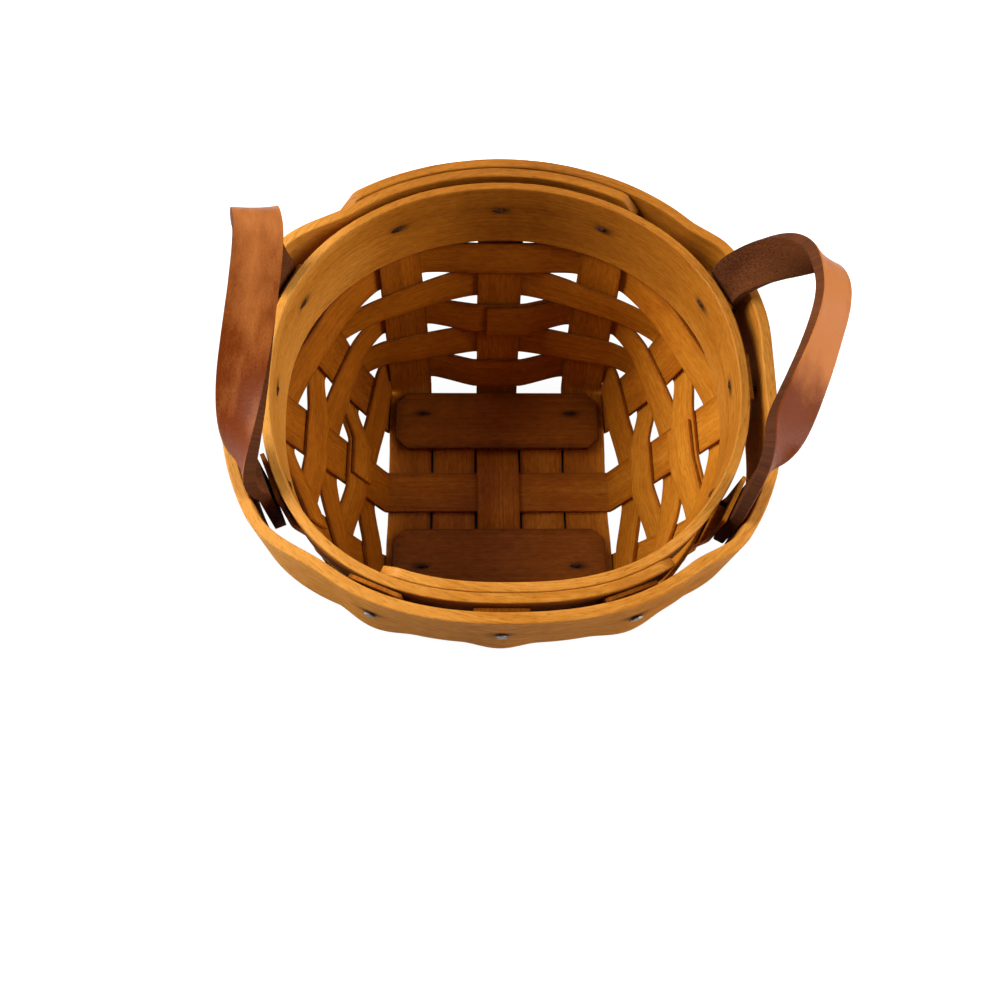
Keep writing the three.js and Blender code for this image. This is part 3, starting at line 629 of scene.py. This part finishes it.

# %% [markdown]
# ## Standing splints
# Each long strip is one piece from rim to rim. It comes down the wall, turns through a tight bend at the
# foot, crosses the floor and climbs the opposite wall. In the floor the lengthwise strips rise over and dip
# under the crosswise ones, which stay flat. The tops are trimmed just below the bands' upper edge, not all
# at one height, as a knife does it. Their colour carries painted light and shade: lighter on the right wall,
# a little darker on the left wall and darker at the back.

# %% Wall, foot and floor routes
FILLER_SETBACK, TURN_ROOM = 0.6, 0.4
UPRIGHT_SETBACK, TRIMMED = 2.0, {"front_left": 0.5, "front_middle": 4.0}
# Painted light on the right wall, painted shade on the left wall and at the back.
PAINTED_LIGHT_RIGHT, PAINTED_SHADE_LEFT, PAINTED_SHADE_BACK = 0.16, 0.06, 0.1
FOOT_STEPS, WALL_STEPS, FLOOR_STEPS, FILLER_STEPS = 12, 52, 48, 60
floor_levels = [UPRIGHT_THICKNESS / 2 + i * (UPRIGHT_THICKNESS + FIT_GAP) for i in range(3)]
crossing_edge = UPRIGHT_WIDTH / 2 + TURN_ROOM
next_crossing_edge = 2 * floor_pitch - crossing_edge


def even(start, end, count):
    return [mix(start, end, i / count) for i in range(count + 1)]


def plait_height(y, rises_in_middle):
    to_side = ease(abs(y), crossing_edge, next_crossing_edge)
    return mix(floor_levels[0], floor_levels[2], 1 - to_side if rises_in_middle else to_side)


def rise_route(name, level, floor_across):
    wall, side, step, _ = UPRIGHTS[name]
    foot = stand(name, FOOT_HEIGHT)
    edge, off_middle = side * (floor_half + FIT_GAP), step * floor_pitch
    start = Vector((edge, off_middle, level)) if wall == "x" else Vector((off_middle, edge, level))
    corner = foot.point + foot.slope * (level - FOOT_HEIGHT)
    route = []
    for t in even(0, 1, FOOT_STEPS)[:-1]:
        point = start * (1 - t) ** 2 + corner * 2 * t * (1 - t) + foot.point * t * t
        route.append((point, floor_across.lerp(level_across(foot, floor_across), t).normalized()))
    for z in even(FOOT_HEIGHT, RIM_HEIGHT - TRIMMED.get(name, UPRIGHT_SETBACK), WALL_STEPS):
        here = stand(name, z)
        route.append((here.point, level_across(here, floor_across)))
    return route


def level_across(here, floor_across):
    return here.along if here.along.dot(floor_across) > 0 else -here.along


# Painted light and shade on the standing strips and the weavers: lighter right, darker left and back.
def splint_painted_light(point):
    back = max(point.y / RIM_HALF_Y, 0)
    aside = point.x / RIM_HALF_X
    return PAINTED_LIGHT_RIGHT * max(aside, 0) ** 2 - PAINTED_SHADE_LEFT * max(-aside, 0) ** 2 - PAINTED_SHADE_BACK * back**2


def edges_of(route, width):
    return [(point - across * width / 2, point + across * width / 2) for point, across in route]


print("floor levels", [round(level, 2) for level in floor_levels])

# %% Six standing splints and two fillers
ACROSS_X, ACROSS_Y = Vector((1, 0, 0)), Vector((0, 1, 0))
LENGTHWISE_TONES, CROSSWISE_TONES, FILLER_TONES = (-0.06, 0.02, -0.03), (0.0, -0.02, -0.05), (-0.02, 0.03)
made_splints = []


def add_splint(name, node_name, route, tone, seed, painted_light_at=splint_painted_light):
    stations = edges_of(route, UPRIGHT_WIDTH)
    piece = bend_strip(
        name, stations, UPRIGHT_THICKNESS, [splint_wood], tone=tone, painted_light_at=painted_light_at, seed=seed
    )
    made_splints.append(finish_piece(piece, [node_name]))


for number, (hand, step) in enumerate((("left", -2), ("middle", 0), ("right", 2))):
    rises = step == 0
    level = plait_height(floor_half, rises)
    floor_route = [
        (Vector((step * floor_pitch, y, plait_height(y, rises))), ACROSS_X)
        for y in even(-next_crossing_edge - TURN_ROOM, next_crossing_edge + TURN_ROOM, FLOOR_STEPS)
    ]
    route = rise_route(f"front_{hand}", level, ACROSS_X)[::-1] + floor_route
    route += rise_route(f"back_{hand}", level, ACROSS_X)
    name, node_name = f"splint_lengthwise_{hand}", f"lengthwise_splint_{hand}"
    add_splint(name, node_name, route, LENGTHWISE_TONES[number], 1.0 + number)
for number, (row, step) in enumerate((("front", -2), ("middle", 0), ("back", 2))):
    floor_route = [
        (Vector((x, step * floor_pitch, floor_levels[1])), ACROSS_Y)
        for x in even(-floor_half, floor_half, FLOOR_STEPS)
    ]
    route = rise_route(f"left_{row}", floor_levels[1], ACROSS_Y)[::-1] + floor_route
    route += rise_route(f"right_{row}", floor_levels[1], ACROSS_Y)
    name, node_name = f"splint_crosswise_{row}", f"crosswise_splint_{row}"
    add_splint(name, node_name, route, CROSSWISE_TONES[number], 4.0 + number)
for number, (hand, step) in enumerate((("left", -1), ("right", 1))):
    end = floor_half - FILLER_SETBACK
    route = [
        (Vector((step * floor_pitch, y, plait_height(y, False))), ACROSS_X)
        for y in even(-end, end, FILLER_STEPS)
    ]
    name, node_name = f"filler_{hand}", f"floor_filler_{hand}"
    add_splint(name, node_name, route, FILLER_TONES[number], 8.0 + number, painted_light_at=None)
print("splints", [piece.name for piece in made_splints])

# %% [markdown]
# ## Weavers
# A weaver goes outside one upright and inside the next, and the row above it does the opposite. Over an
# upright it lies flat against it; between two uprights it swings across in an easy curve. Its two ends lap
# over two uprights, one layer on the other, which is how a real row is closed.

# %% Five rows of weaving
WEAVER_THICKNESS, LOWEST_ROW, ROW_PITCH, ROW_GAP = 1.0, 5.7, 9.35, 0.5
WEAVER_END, TURN_PULL, LAP_UPRIGHTS = 3.5, 0.14, 2
LAP_STARTS = (7, 10, 1, 4, 9)
ROW_TONES = (-0.03, 0.04, 0.0, 0.05, 0.02)
SWING_STEPS, CROSSING_STEPS = 14, 9
weaver_seat = (UPRIGHT_THICKNESS + WEAVER_THICKNESS) / 2 + FIT_GAP
weaver_layer = WEAVER_THICKNESS + FIT_GAP


def bow_towards(side, name, bottom, top):
    low, middle, high = (stand(name, z) for z in (bottom, (bottom + top) / 2, top))
    bows = [0.0]
    for aside in (-UPRIGHT_WIDTH / 2, 0, UPRIGHT_WIDTH / 2):
        chord = (low.beside(0, aside) + high.beside(0, aside)) / 2
        bows.append(side * (middle.beside(0, aside) - chord).dot(middle.out) * middle.lean)
    return max(bows)


def curve_point(start, near, far, end, t):
    u = 1 - t
    return start * u**3 + near * 3 * t * u * u + far * 3 * t * t * u + end * t**3


def swing(start, heading, end, end_heading):
    reach = (end - start).length * TURN_PULL
    near, far = start + heading * reach, end - end_heading * reach
    return [curve_point(start, near, far, end, t) for t in even(0, 1, SWING_STEPS)[1:-1]]


def weaver_rail(row, first, bottom, top, z):
    rail, leaving = [], None
    total = len(ROUND) + LAP_UPRIGHTS
    edge = UPRIGHT_WIDTH / 2 + TURN_ROOM
    for count in range(total):
        index = (first + count) % len(ROUND)
        side = -1 if (index + row) % 2 == 0 else 1
        seat = side * (weaver_seat + bow_towards(side, ROUND[index], bottom, top))
        if count < LAP_UPRIGHTS and side < 0:
            seat -= weaver_layer
        if count >= len(ROUND) and side > 0:
            seat += weaver_layer
        here = stand(ROUND[index], z)
        arrive = here.beside(seat, WEAVER_END if count == 0 else edge)
        leave = here.beside(seat, -WEAVER_END if count == total - 1 else -edge)
        if leaving:
            rail.extend(swing(*leaving, arrive, -here.along))
        rail.extend(arrive.lerp(leave, t) for t in even(0, 1, CROSSING_STEPS))
        leaving = leave, -here.along
    return rail


made_weavers = []
for row in range(1, len(LAP_STARTS) + 1):
    bottom = LOWEST_ROW + (row - 1) * ROW_PITCH
    top = bottom + ROW_PITCH - ROW_GAP
    rails = [weaver_rail(row, LAP_STARTS[row - 1], bottom, top, z) for z in (bottom, top)]
    piece = bend_strip(
        f"weaver_{row}", list(zip(*rails)), WEAVER_THICKNESS,
        [splint_wood], tone=ROW_TONES[row - 1], painted_light_at=splint_painted_light, seed=11.0 + row,
    )
    made_weavers.append(finish_piece(piece, [f"weaver_row_{row}"]))
print("weavers", [piece.name for piece in made_weavers])

# %% [markdown]
# ## Rim bands
# Two thicker strips are bent round the top of the uprights, one inside and one outside, and lapped: the
# inner one at the front, the outer one at the back. The outer band stands off where leather lies under it.
# Its stiff wood needs some length to come back to the wall, more at the foot than at the top, so it leans
# out beside the ears. Each upright pushes its lower edge out a little. The bands' colour carries painted
# light
# and shade: painted shade darkens the back, and painted light brightens both ends below the ears, the left
# most.

# %% The bands' seats
INNER_BAND_START, INNER_BAND_LAP = -120.0, 68.0
OUTER_BAND_START, OUTER_BAND_LAP = 130.0, 75.0
INNER_BAND_THICKNESS, OUTER_BAND_THICKNESS, PRESSED = 2.2, 2.8, 0.2
LAP_ROOM, LAP_EASE, BAND_END_CLIP, ANGLE_ROOM = 2.0, 50.0, 4.0, 1.0
BAND_SKIRT, BAND_RIPPLE, RIPPLE_REACH = 1.5, 1.3, 9.0
LEFT_SLACK, RIGHT_SLACK = 1.6, 0.3
LEFT_REACH, RIGHT_REACH = 42.0, 27.0
SPAN_REACH, FOOT_REACH, TOP_REACH = 1.25, 0.8, 0.45
STRAP_WIDTH, STRAP_THICKNESS = 11.0, 2.8

strap_seat = (UPRIGHT_THICKNESS + STRAP_THICKNESS) / 2 + FIT_GAP
inner_band_seat = UPRIGHT_THICKNESS / 2 + FIT_GAP + INNER_BAND_THICKNESS / 2


def proud(width):
    return width**2 / (8 * RIM_HALF_Y)


outer_band_seat = UPRIGHT_THICKNESS / 2 + proud(UPRIGHT_WIDTH) + FIT_GAP + OUTER_BAND_THICKNESS / 2
leather_top = strap_seat + STRAP_THICKNESS / 2 + proud(STRAP_WIDTH)
leather_room = leather_top + FIT_GAP + OUTER_BAND_THICKNESS / 2 - outer_band_seat
strap_half_angle = degrees(STRAP_WIDTH / 2 / RIM_HALF_Y) + ANGLE_ROOM


def apart(angle, other):
    return abs((angle - other + 540) % 360 - 180)


def swell(distance, reach):
    return cos(pi * distance / reach / 2) ** 2 if distance < reach else 0.0


def leather_swell(angle, outer_share):
    most = 0.0
    for side, slack, reach in (("left", LEFT_SLACK, LEFT_REACH), ("right", RIGHT_SLACK, RIGHT_REACH)):
        roots = [UPRIGHTS[f"{side}_{end}"][3] for end in ("front", "back")]
        ends = [apart(angle, root) for root in roots]
        between = sum(ends) < apart(*roots) + ANGLE_ROOM
        here = reach * (SPAN_REACH if between else outer_share)
        shares = [swell(max(distance - strap_half_angle, 0), here) for distance in ends]
        most = max(most, (leather_room + slack) * min(sum(shares), 1))
    return most


def inner_offset(turn, level):
    lapped = 1 - ease(turn, INNER_BAND_LAP + LAP_ROOM, INNER_BAND_LAP + LAP_EASE)
    return -inner_band_seat - lapped * (INNER_BAND_THICKNESS + FIT_GAP)


def outer_offset(turn, level):
    angle = OUTER_BAND_START - turn
    lapped = 1 - ease(turn, OUTER_BAND_LAP + LAP_ROOM, OUTER_BAND_LAP + LAP_EASE)
    nearest = min(apart(angle, upright[3]) for upright in UPRIGHTS.values())
    ripple = BAND_RIPPLE * swell(nearest, RIPPLE_REACH)
    leather = leather_swell(angle, FOOT_REACH)
    foot = max(BAND_SKIRT + ripple, leather)
    seat = outer_band_seat + mix(foot, leather_swell(angle, TOP_REACH), level)
    return seat + lapped * (OUTER_BAND_THICKNESS + FIT_GAP)


def rim_stand(angle, z):
    point = outline_point(z, angle)
    out = outward(point)
    return Stand(point, out, out * (RIM_FLARE / BAND_HEIGHT) + UP)


print("room for the leather", round(leather_room, 2))

# %% Two bands
BAND_STEPS, BAND_ACROSS, BAND_EDGE_STEPS = 360, 18, 4
# Painted light at both ends below the ears and on the left, painted shade at the back.
PAINTED_LIGHT_ENDS, PAINTED_LIGHT_LEFT, BAND_PAINTED_SHADE_BACK = 0.13, 0.1, 0.2


def band_stations(start, turning, lap, offset):
    total = 360 + lap
    clip_turn = degrees(BAND_END_CLIP / RIM_HALF_Y)
    stations = []
    for turn in even(0, total, BAND_STEPS):
        to_end = min(turn, total - turn)
        clip = BAND_END_CLIP * max(1 - to_end / clip_turn, 0)
        angle = start + turning * turn
        edges = []
        for z in (band_bottom + clip, RIM_HEIGHT - clip):
            edges.append(rim_stand(angle, z).beside(offset(turn, (z - band_bottom) / BAND_HEIGHT)))
        stations.append(tuple(edges))
    return stations


# Painted light and shade along both bands.
def band_painted_light(point):
    back = max(point.y / RIM_HALF_Y, 0)
    aside = point.x / RIM_HALF_X
    return PAINTED_LIGHT_ENDS * aside**2 - PAINTED_LIGHT_LEFT * aside - BAND_PAINTED_SHADE_BACK * back**2


inner_band = bend_strip(
    "band_inner", band_stations(INNER_BAND_START, 1, INNER_BAND_LAP, inner_offset),
    INNER_BAND_THICKNESS + PRESSED, [band_wood],
    painted_light_at=band_painted_light, across=BAND_ACROSS, rounding=0.4, seed=21.0,
)
outer_band = bend_strip(
    "band_outer", band_stations(OUTER_BAND_START, -1, OUTER_BAND_LAP, outer_offset),
    OUTER_BAND_THICKNESS, [band_wood],
    painted_light_at=band_painted_light, across=BAND_ACROSS, rounding=0.6, seed=22.0,
)
for piece, node_name in ((inner_band, "inner_rim_band"), (outer_band, "outer_rim_band")):
    piece.modifiers["worn edges"].segments = BAND_EDGE_STEPS
    finish_piece(piece, [node_name])
print("bands", inner_band.name, outer_band.name)

# %% [markdown]
# ## Boards
# Two thin boards with clipped corners lie on the plaited floor. Each starts as a flat grid; a saw cut takes
# off each corner, and then it gets its thickness. The grid's small faces stay, so that the tack stains fall
# where they should.

# %% Two boards
BOARD_DEPTH, BOARD_THICKNESS, BOARD_CLIP, BOARD_ROUNDING = 19.2, 1.6, 3.6, 0.5
BOARD_SETBACK, BOARD_END_SETBACK, BOARD_TONES, BOARD_GRID = 0.6, 1.9, (0.02, -0.02), (62, 19)
BOARD_GRAIN, BOARD_GRAIN_STEP = Vector((12.2, 0)), Vector((0.31, 0.07))
board_middle = floor_levels[2] + UPRIGHT_THICKNESS / 2 + FIT_GAP + BOARD_THICKNESS / 2
board_top = board_middle + BOARD_THICKNESS / 2
board_half = floor_half - BOARD_END_SETBACK

made_boards = []
for number, (row, side) in enumerate((("front", -1), ("back", 1))):
    middle = Vector((0, side * (floor_half - BOARD_SETBACK - BOARD_DEPTH / 2), board_middle))
    bm = bmesh.new()
    grain = bm.loops.layers.uv.new("grain")
    layers = {key: bm.verts.layers.float.new(key) for key in ("edge", "tone", "stain")}
    columns, rows = BOARD_GRID
    bmesh.ops.create_grid(bm, x_segments=columns, y_segments=rows, size=1, calc_uvs=True)
    bmesh.ops.scale(bm, vec=(board_half, BOARD_DEPTH / 2, 1), verts=bm.verts)
    for sign_x in (-1, 1):
        for sign_y in (-1, 1):
            bmesh.ops.bisect_plane(
                bm, geom=bm.verts[:] + bm.edges[:] + bm.faces[:], clear_outer=True,
                plane_co=(sign_x * (board_half - BOARD_CLIP), sign_y * BOARD_DEPTH / 2, 0),
                plane_no=(sign_x, sign_y, 0),
            )
    grain_start = BOARD_GRAIN + BOARD_GRAIN_STEP * number
    for face in bm.faces:
        for loop in face.loops:
            loop[grain].uv = loop.vert.co.xy * MM + grain_start
    for vert in bm.verts:
        point = vert.co + middle
        vert[layers["edge"]] = max(abs(vert.co.y) / (BOARD_DEPTH / 2), abs(vert.co.x) / board_half)
        vert[layers["tone"]] = BOARD_TONES[number]
        vert[layers["stain"]] = stain_at(point, ACROSS_X, ACROSS_Y)
        vert.co = place(point)
    piece = solid_piece(f"board_{row}", bm, BOARD_THICKNESS, [board_wood], BOARD_ROUNDING, 3)
    made_boards.append(finish_piece(piece, [f"base_board_{row}"]))
print("boards", [piece.name for piece in made_boards])

# %% [markdown]
# ## Tacks
# A tack is a nail with a flat round head. It is driven from outside and its point is bent over on the inside.
# One ring of points becomes the whole tack: it is pulled out along the shank, spun through the bend, pulled
# along the bent point and closed, and at the other end it is spread to the head. The head is dull steel; the
# shank and the bent point have gone black in the wood.

# %% Steel finishes
def steel(name, grain_size, dark, light, light_from):
    made = Finish(name)
    where = made.add("ShaderNodeTexCoord", output="Object")
    worn = made.noise(where, (grain_size, grain_size, grain_size), 4.0)
    color = made.ramp(worn, [(0.35, rgb(dark)), (light_from, rgb(light))])
    made.feed(made.shader.inputs["Base Color"], color)
    return made, worn


dull_steel, wear = steel("dull steel", 900, "6b6259", "a8a098", 0.62)
dull_steel.feed(
    dull_steel.shader.inputs["Roughness"], dull_steel.ramp(wear, [(0.3, grey(0.7)), (0.7, grey(0.5))])
)
dull_steel.shader.inputs["Metallic"].default_value = 0.8

black_steel, _ = steel("blackened steel", 1300, "170d08", "45291a", 0.65)
black_steel.shader.inputs["Roughness"].default_value = 0.8
black_steel.shader.inputs["Specular IOR Level"].default_value = 0.15
print("steel", dull_steel.material.name, black_steel.material.name)

# %% Sixteen tacks
TACK_SHANK, TACK_HEAD, TACK_HEAD_HEIGHT, TACK_SIDES, CLINCH_STEPS = 0.6, 1.5, 0.5, 16, 6
HEAD_LAYERS = ((0.45, 1.0), (0.4, 0.8), (0.15, 0.4))
CLINCH_LENGTH, CLINCH_RADIUS, CLINCH_SUNK = 2.2, 0.4, 0.55
CLINCH_LAYERS = ((0.6, CLINCH_RADIUS / TACK_SHANK), (0.3, 0.45))


def pull(bm, loop, vec=(0, 0, 0), spread=1.0, centre=(0, 0, 0)):
    made = bmesh.ops.extrude_edge_only(bm, edges=loop)["geom"]
    verts = picked(made, bmesh.types.BMVert)
    about = Matrix.Translation(-Vector(centre))
    bmesh.ops.scale(bm, vec=(spread, spread, spread), space=about, verts=verts)
    bmesh.ops.translate(bm, vec=vec, verts=verts)
    return picked(made, bmesh.types.BMEdge)


def tack(name, placed, head_seat, point_seat):
    point_seat += CLINCH_SUNK
    bm = bmesh.new()
    bmesh.ops.create_circle(bm, segments=TACK_SIDES, radius=TACK_SHANK)
    bmesh.ops.translate(bm, vec=(0, 0, point_seat), verts=bm.verts)
    ring = bm.edges[:]
    top = pull(bm, ring, (0, 0, head_seat - point_seat))
    height = head_seat
    top = pull(bm, top, spread=TACK_HEAD / TACK_SHANK, centre=(0, 0, height))
    for rise, spread in HEAD_LAYERS:
        top = pull(bm, top, (0, 0, TACK_HEAD_HEIGHT * rise), spread, (0, 0, height))
        height += TACK_HEAD_HEIGHT * rise
    bmesh.ops.contextual_create(bm, geom=top)
    bent = bmesh.ops.spin(
        bm, geom=ring, cent=(TACK_SHANK, 0, point_seat), axis=(0, 1, 0),
        angle=-pi / 2, steps=CLINCH_STEPS, use_merge=False,
    )
    point = picked(bent["geom_last"], bmesh.types.BMEdge)
    reach = TACK_SHANK
    for run, spread in CLINCH_LAYERS:
        tip = (reach, 0, point_seat - TACK_SHANK)
        point = pull(bm, point, (CLINCH_LENGTH * run, 0, 0), spread, tip)
        reach += CLINCH_LENGTH * run
    bmesh.ops.contextual_create(bm, geom=point)
    bmesh.ops.remove_doubles(bm, verts=bm.verts, dist=0.001)
    bmesh.ops.recalc_face_normals(bm, faces=bm.faces)
    for face in bm.faces:
        face.material_index = 1 if face.calc_center_median().z < head_seat - TACK_HEAD_HEIGHT else 0
    for vert in bm.verts:
        vert.co = place(placed @ vert.co)
    piece = mesh_object(name, bm, [dull_steel.material, black_steel.material])
    piece.data.shade_smooth()
    return piece


def layers_at(start, turning, lap, offset, angle, level):
    turn = (turning * (angle - start)) % 360
    return [offset(turn, level)] + ([offset(turn + 360, level)] if turn <= lap else [])


made_tacks = []
for name, here in rim_tack_stands.items():
    angle = degrees(atan2(here.point.y, here.point.x))
    level = 1 - (TACK_DROP + TACK_HEAD) / BAND_HEIGHT
    outer = layers_at(OUTER_BAND_START, -1, OUTER_BAND_LAP, outer_offset, angle, level)
    inner = layers_at(INNER_BAND_START, 1, INNER_BAND_LAP, inner_offset, angle, level)
    head_seat = max(outer) + OUTER_BAND_THICKNESS / 2
    point_seat = min(inner) - INNER_BAND_THICKNESS / 2
    square = here.along.cross(here.slope).normalized()
    axes = Matrix((here.along, square.cross(here.along), square)).transposed().to_4x4()
    piece = tack(f"tack_rim_{name}", Matrix.Translation(here.point) @ axes, head_seat, point_seat)
    made_tacks.append(finish_piece(piece, [f"rim_tack_{name}"]))
for name, spot in board_tack_spots.items():
    inwards = Vector((-1 if name.endswith("right") else 1, 0, 0))
    down = Vector((0, 0, -1))
    axes = Matrix((inwards, down.cross(inwards), down)).transposed().to_4x4()
    head_seat = -(floor_levels[1] - UPRIGHT_THICKNESS / 2)
    placed = Matrix.Translation((spot.x, spot.y, 0)) @ axes
    piece = tack(f"tack_board_{name}", placed, head_seat, -board_top)
    made_tacks.append(finish_piece(piece, [f"board_tack_{name}"]))
print("tacks", len(made_tacks))

# %% [markdown]
# ## Leather
# The ears are cut from thick tanned hide. The outer side is the smooth grain: fine pebbles, soft colour
# clouds and a dull shine. The inner side is the rough flesh side, darker and without shine, and the cut
# edges show pressed fibres. One strap therefore has three finishes. They read the strap's tone, the grain
# side most of all, and that tone is painted light: a painted highlight at the crest and painted shade
# towards the rim.

# %% Leather finishes
HIDE_CLOUDS, HIDE_FIBRES, PEBBLE_HEIGHT, HIDE_DEPTH = (70, 160, 1), (1500, 2600, 1), 0.6, 0.0004


def leather(name, dark, light, rough, pebble, relief, shine, speckle, painted_light_scale):
    made = Finish(name)
    hide = made.add("ShaderNodeUVMap", uv_map="grain")
    clouds = made.noise(hide, HIDE_CLOUDS, 4.0)
    fibres = made.noise(hide, HIDE_FIBRES, 5.0, 0.65)
    scaled = made.add("ShaderNodeMapping", {"Vector": hide, "Scale": (pebble, pebble, 1)})
    pebbles = made.add("ShaderNodeTexVoronoi", {"Vector": scaled, "Scale": 1.0}, feature="SMOOTH_F1")
    tone = made.attribute("tone")
    # The strap's tone is painted light, a highlight at the crest and shade at the rim; the last weight says
    # how much shows.
    shade = made.weighted((clouds, 1.1 - speckle), (fibres, speckle), (tone, painted_light_scale))
    color = made.ramp(shade, [(0.36, rgb(dark)), (0.8, rgb(light))])
    made.feed(made.shader.inputs["Base Color"], color)
    gloss = made.ramp(fibres, [(0.3, grey(rough[0])), (0.7, grey(rough[1]))])
    made.feed(made.shader.inputs["Roughness"], gloss)
    made.shader.inputs["Specular IOR Level"].default_value = shine
    height = made.weighted((pebbles, PEBBLE_HEIGHT), (fibres, 1.0))
    made.feed(made.shader.inputs["Normal"], made.bump(height, relief, HIDE_DEPTH))
    return made.material


grain_side = leather(
    "leather grain side", "6a2c06", "b06830", rough=(0.3, 0.46),
    pebble=1400, relief=0.2, shine=0.09, speckle=0.3, painted_light_scale=1.0,
)
flesh_side = leather(
    "leather flesh side", "3c1b08", "824a24", rough=(0.85, 1.0),
    pebble=700, relief=0.9, shine=0.1, speckle=0.75, painted_light_scale=0.3,
)
cut_edge = leather(
    "leather cut edge", "3a1a08", "6e3a18", rough=(0.7, 0.9),
    pebble=900, relief=0.7, shine=0.15, speckle=0.6, painted_light_scale=0.3,
)
print("leather", grain_side.name, flesh_side.name, cut_edge.name)

# %% [markdown]
# ## Ears
# Each ear is one strap. Its ends are tucked between an upright and the outer band, and it rises out of the
# rim on both sides to a crest. The route is two curves that meet at the crest, and the strap turns about its
# own length on the way, because its ends lie against the wall and its crest lies over the opening.
# Leather bends, so the strap isn't split at the hinge.

# %% The straps' routes
STRAP_TUCK, SLACK_INSIDE, TUCK_STEPS, LEG_STEPS = 18.0, 0.3, 10, 44
# Each ear's pair of tones is a painted highlight at the crest and painted shade at the rim, fading over the
# given distance in mm.
EARS = {
    "left": {
        "crest": (-56.7, 22.4, 99.5), "leg_pulls": (11.8, 9.6), "crest_pulls": (13.2, 11.1),
        "leans": (38, 28), "tilt": -18, "turn": -12.8, "climb": -7.3,
        "seat": strap_seat + LEFT_SLACK * SLACK_INSIDE, "painted_light_and_shade": (0.06, -0.2), "painted_light_scale": 36,
    },
    "right": {
        "crest": (75.9, 7.6, 85.1), "leg_pulls": (25.4, 6), "crest_pulls": (18.3, 25.9),
        "leans": (-3.5, 8.5), "tilt": -41.7, "turn": -15.4, "climb": 23.4,
        "seat": strap_seat + RIGHT_SLACK * SLACK_INSIDE, "painted_light_and_shade": (0.36, -0.34), "painted_light_scale": 28,
    },
}


def turned(vector, axis, angle):
    return Matrix.Rotation(radians(angle), 3, axis) @ vector


def strap_route(side, ear):
    crest = Vector(ear["crest"])
    ends = [stand(f"{side}_{end}", RIM_HEIGHT) for end in ("front", "back")]
    roots = [end.beside(ear["seat"]) for end in ends]
    over = turned((roots[1] - roots[0]).normalized(), UP, ear["turn"] * (1 if crest.x > 0 else -1))
    level = over.cross(UP)
    over = turned(over, level, ear["climb"])
    crest_across = turned(level, over, -ear["tilt"])
    route = []
    for i, (end, root) in enumerate(zip(ends, roots)):
        sign = 1 if i == 0 else -1
        root_across = end.along * sign
        rise = turned(end.slope.normalized(), end.along, ear["leans"][i])
        near = root + rise * ear["leg_pulls"][i]
        far = crest - over * sign * ear["crest_pulls"][i]
        name = f"{side}_{('front', 'back')[i]}"
        half = [
            (stand(name, RIM_HEIGHT - depth).beside(ear["seat"]), root_across)
            for depth in even(STRAP_TUCK, 0, TUCK_STEPS)[:-1]
        ]
        for t in even(0, 1, LEG_STEPS):
            point = curve_point(root, near, far, crest, t)
            run = (near - root) * (1 - t) ** 2 + (far - near) * 2 * t * (1 - t) + (crest - far) * t * t
            run.normalize()
            across = root_across.lerp(crest_across, ease(t, 0, 1))
            half.append((point, (across - run * across.dot(run)).normalized()))
        route += half if i == 0 else half[::-1][1:]
    return route


# Painted highlight at the crest, fading to painted shade towards the rim.
def strap_painted_light(point, ear):
    from_crest = min((point - Vector(ear["crest"])).length / ear["painted_light_scale"], 1)
    return mix(*ear["painted_light_and_shade"], from_crest**2)


print("ears", list(EARS))

# %% Two straps
made_straps = []
for number, (side, ear) in enumerate(EARS.items()):
    stations = edges_of(strap_route(side, ear), STRAP_WIDTH)
    piece = bend_strip(
        f"strap_{side}", stations, STRAP_THICKNESS, [grain_side, flesh_side, cut_edge],
        painted_light_at=lambda point, ear=ear: strap_painted_light(point, ear),
        across=10, rounding=0.45, ragged=0.08, seed=31.0 + number,
    )
    solid, worn = piece.modifiers["thickness"], piece.modifiers["worn edges"]
    solid.material_offset, solid.material_offset_rim = 1, 2
    worn.segments = 3
    crest_face = min(piece.data.polygons, key=lambda face: (face.center - place(ear["crest"])).length)
    if crest_face.normal.z < 0:
        piece.data.flip_normals()
    baked = bpy.data.meshes.new_from_object(piece.evaluated_get(bpy.context.evaluated_depsgraph_get()))
    piece.modifiers.clear()
    piece.data = baked
    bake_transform(piece)
    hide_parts(f"{side}_ear_loop", f"{side}_ear_root_front", f"{side}_ear_root_back")
    made_straps.append(piece)
print("straps", [(piece.name, len(piece.data.vertices)) for piece in made_straps])
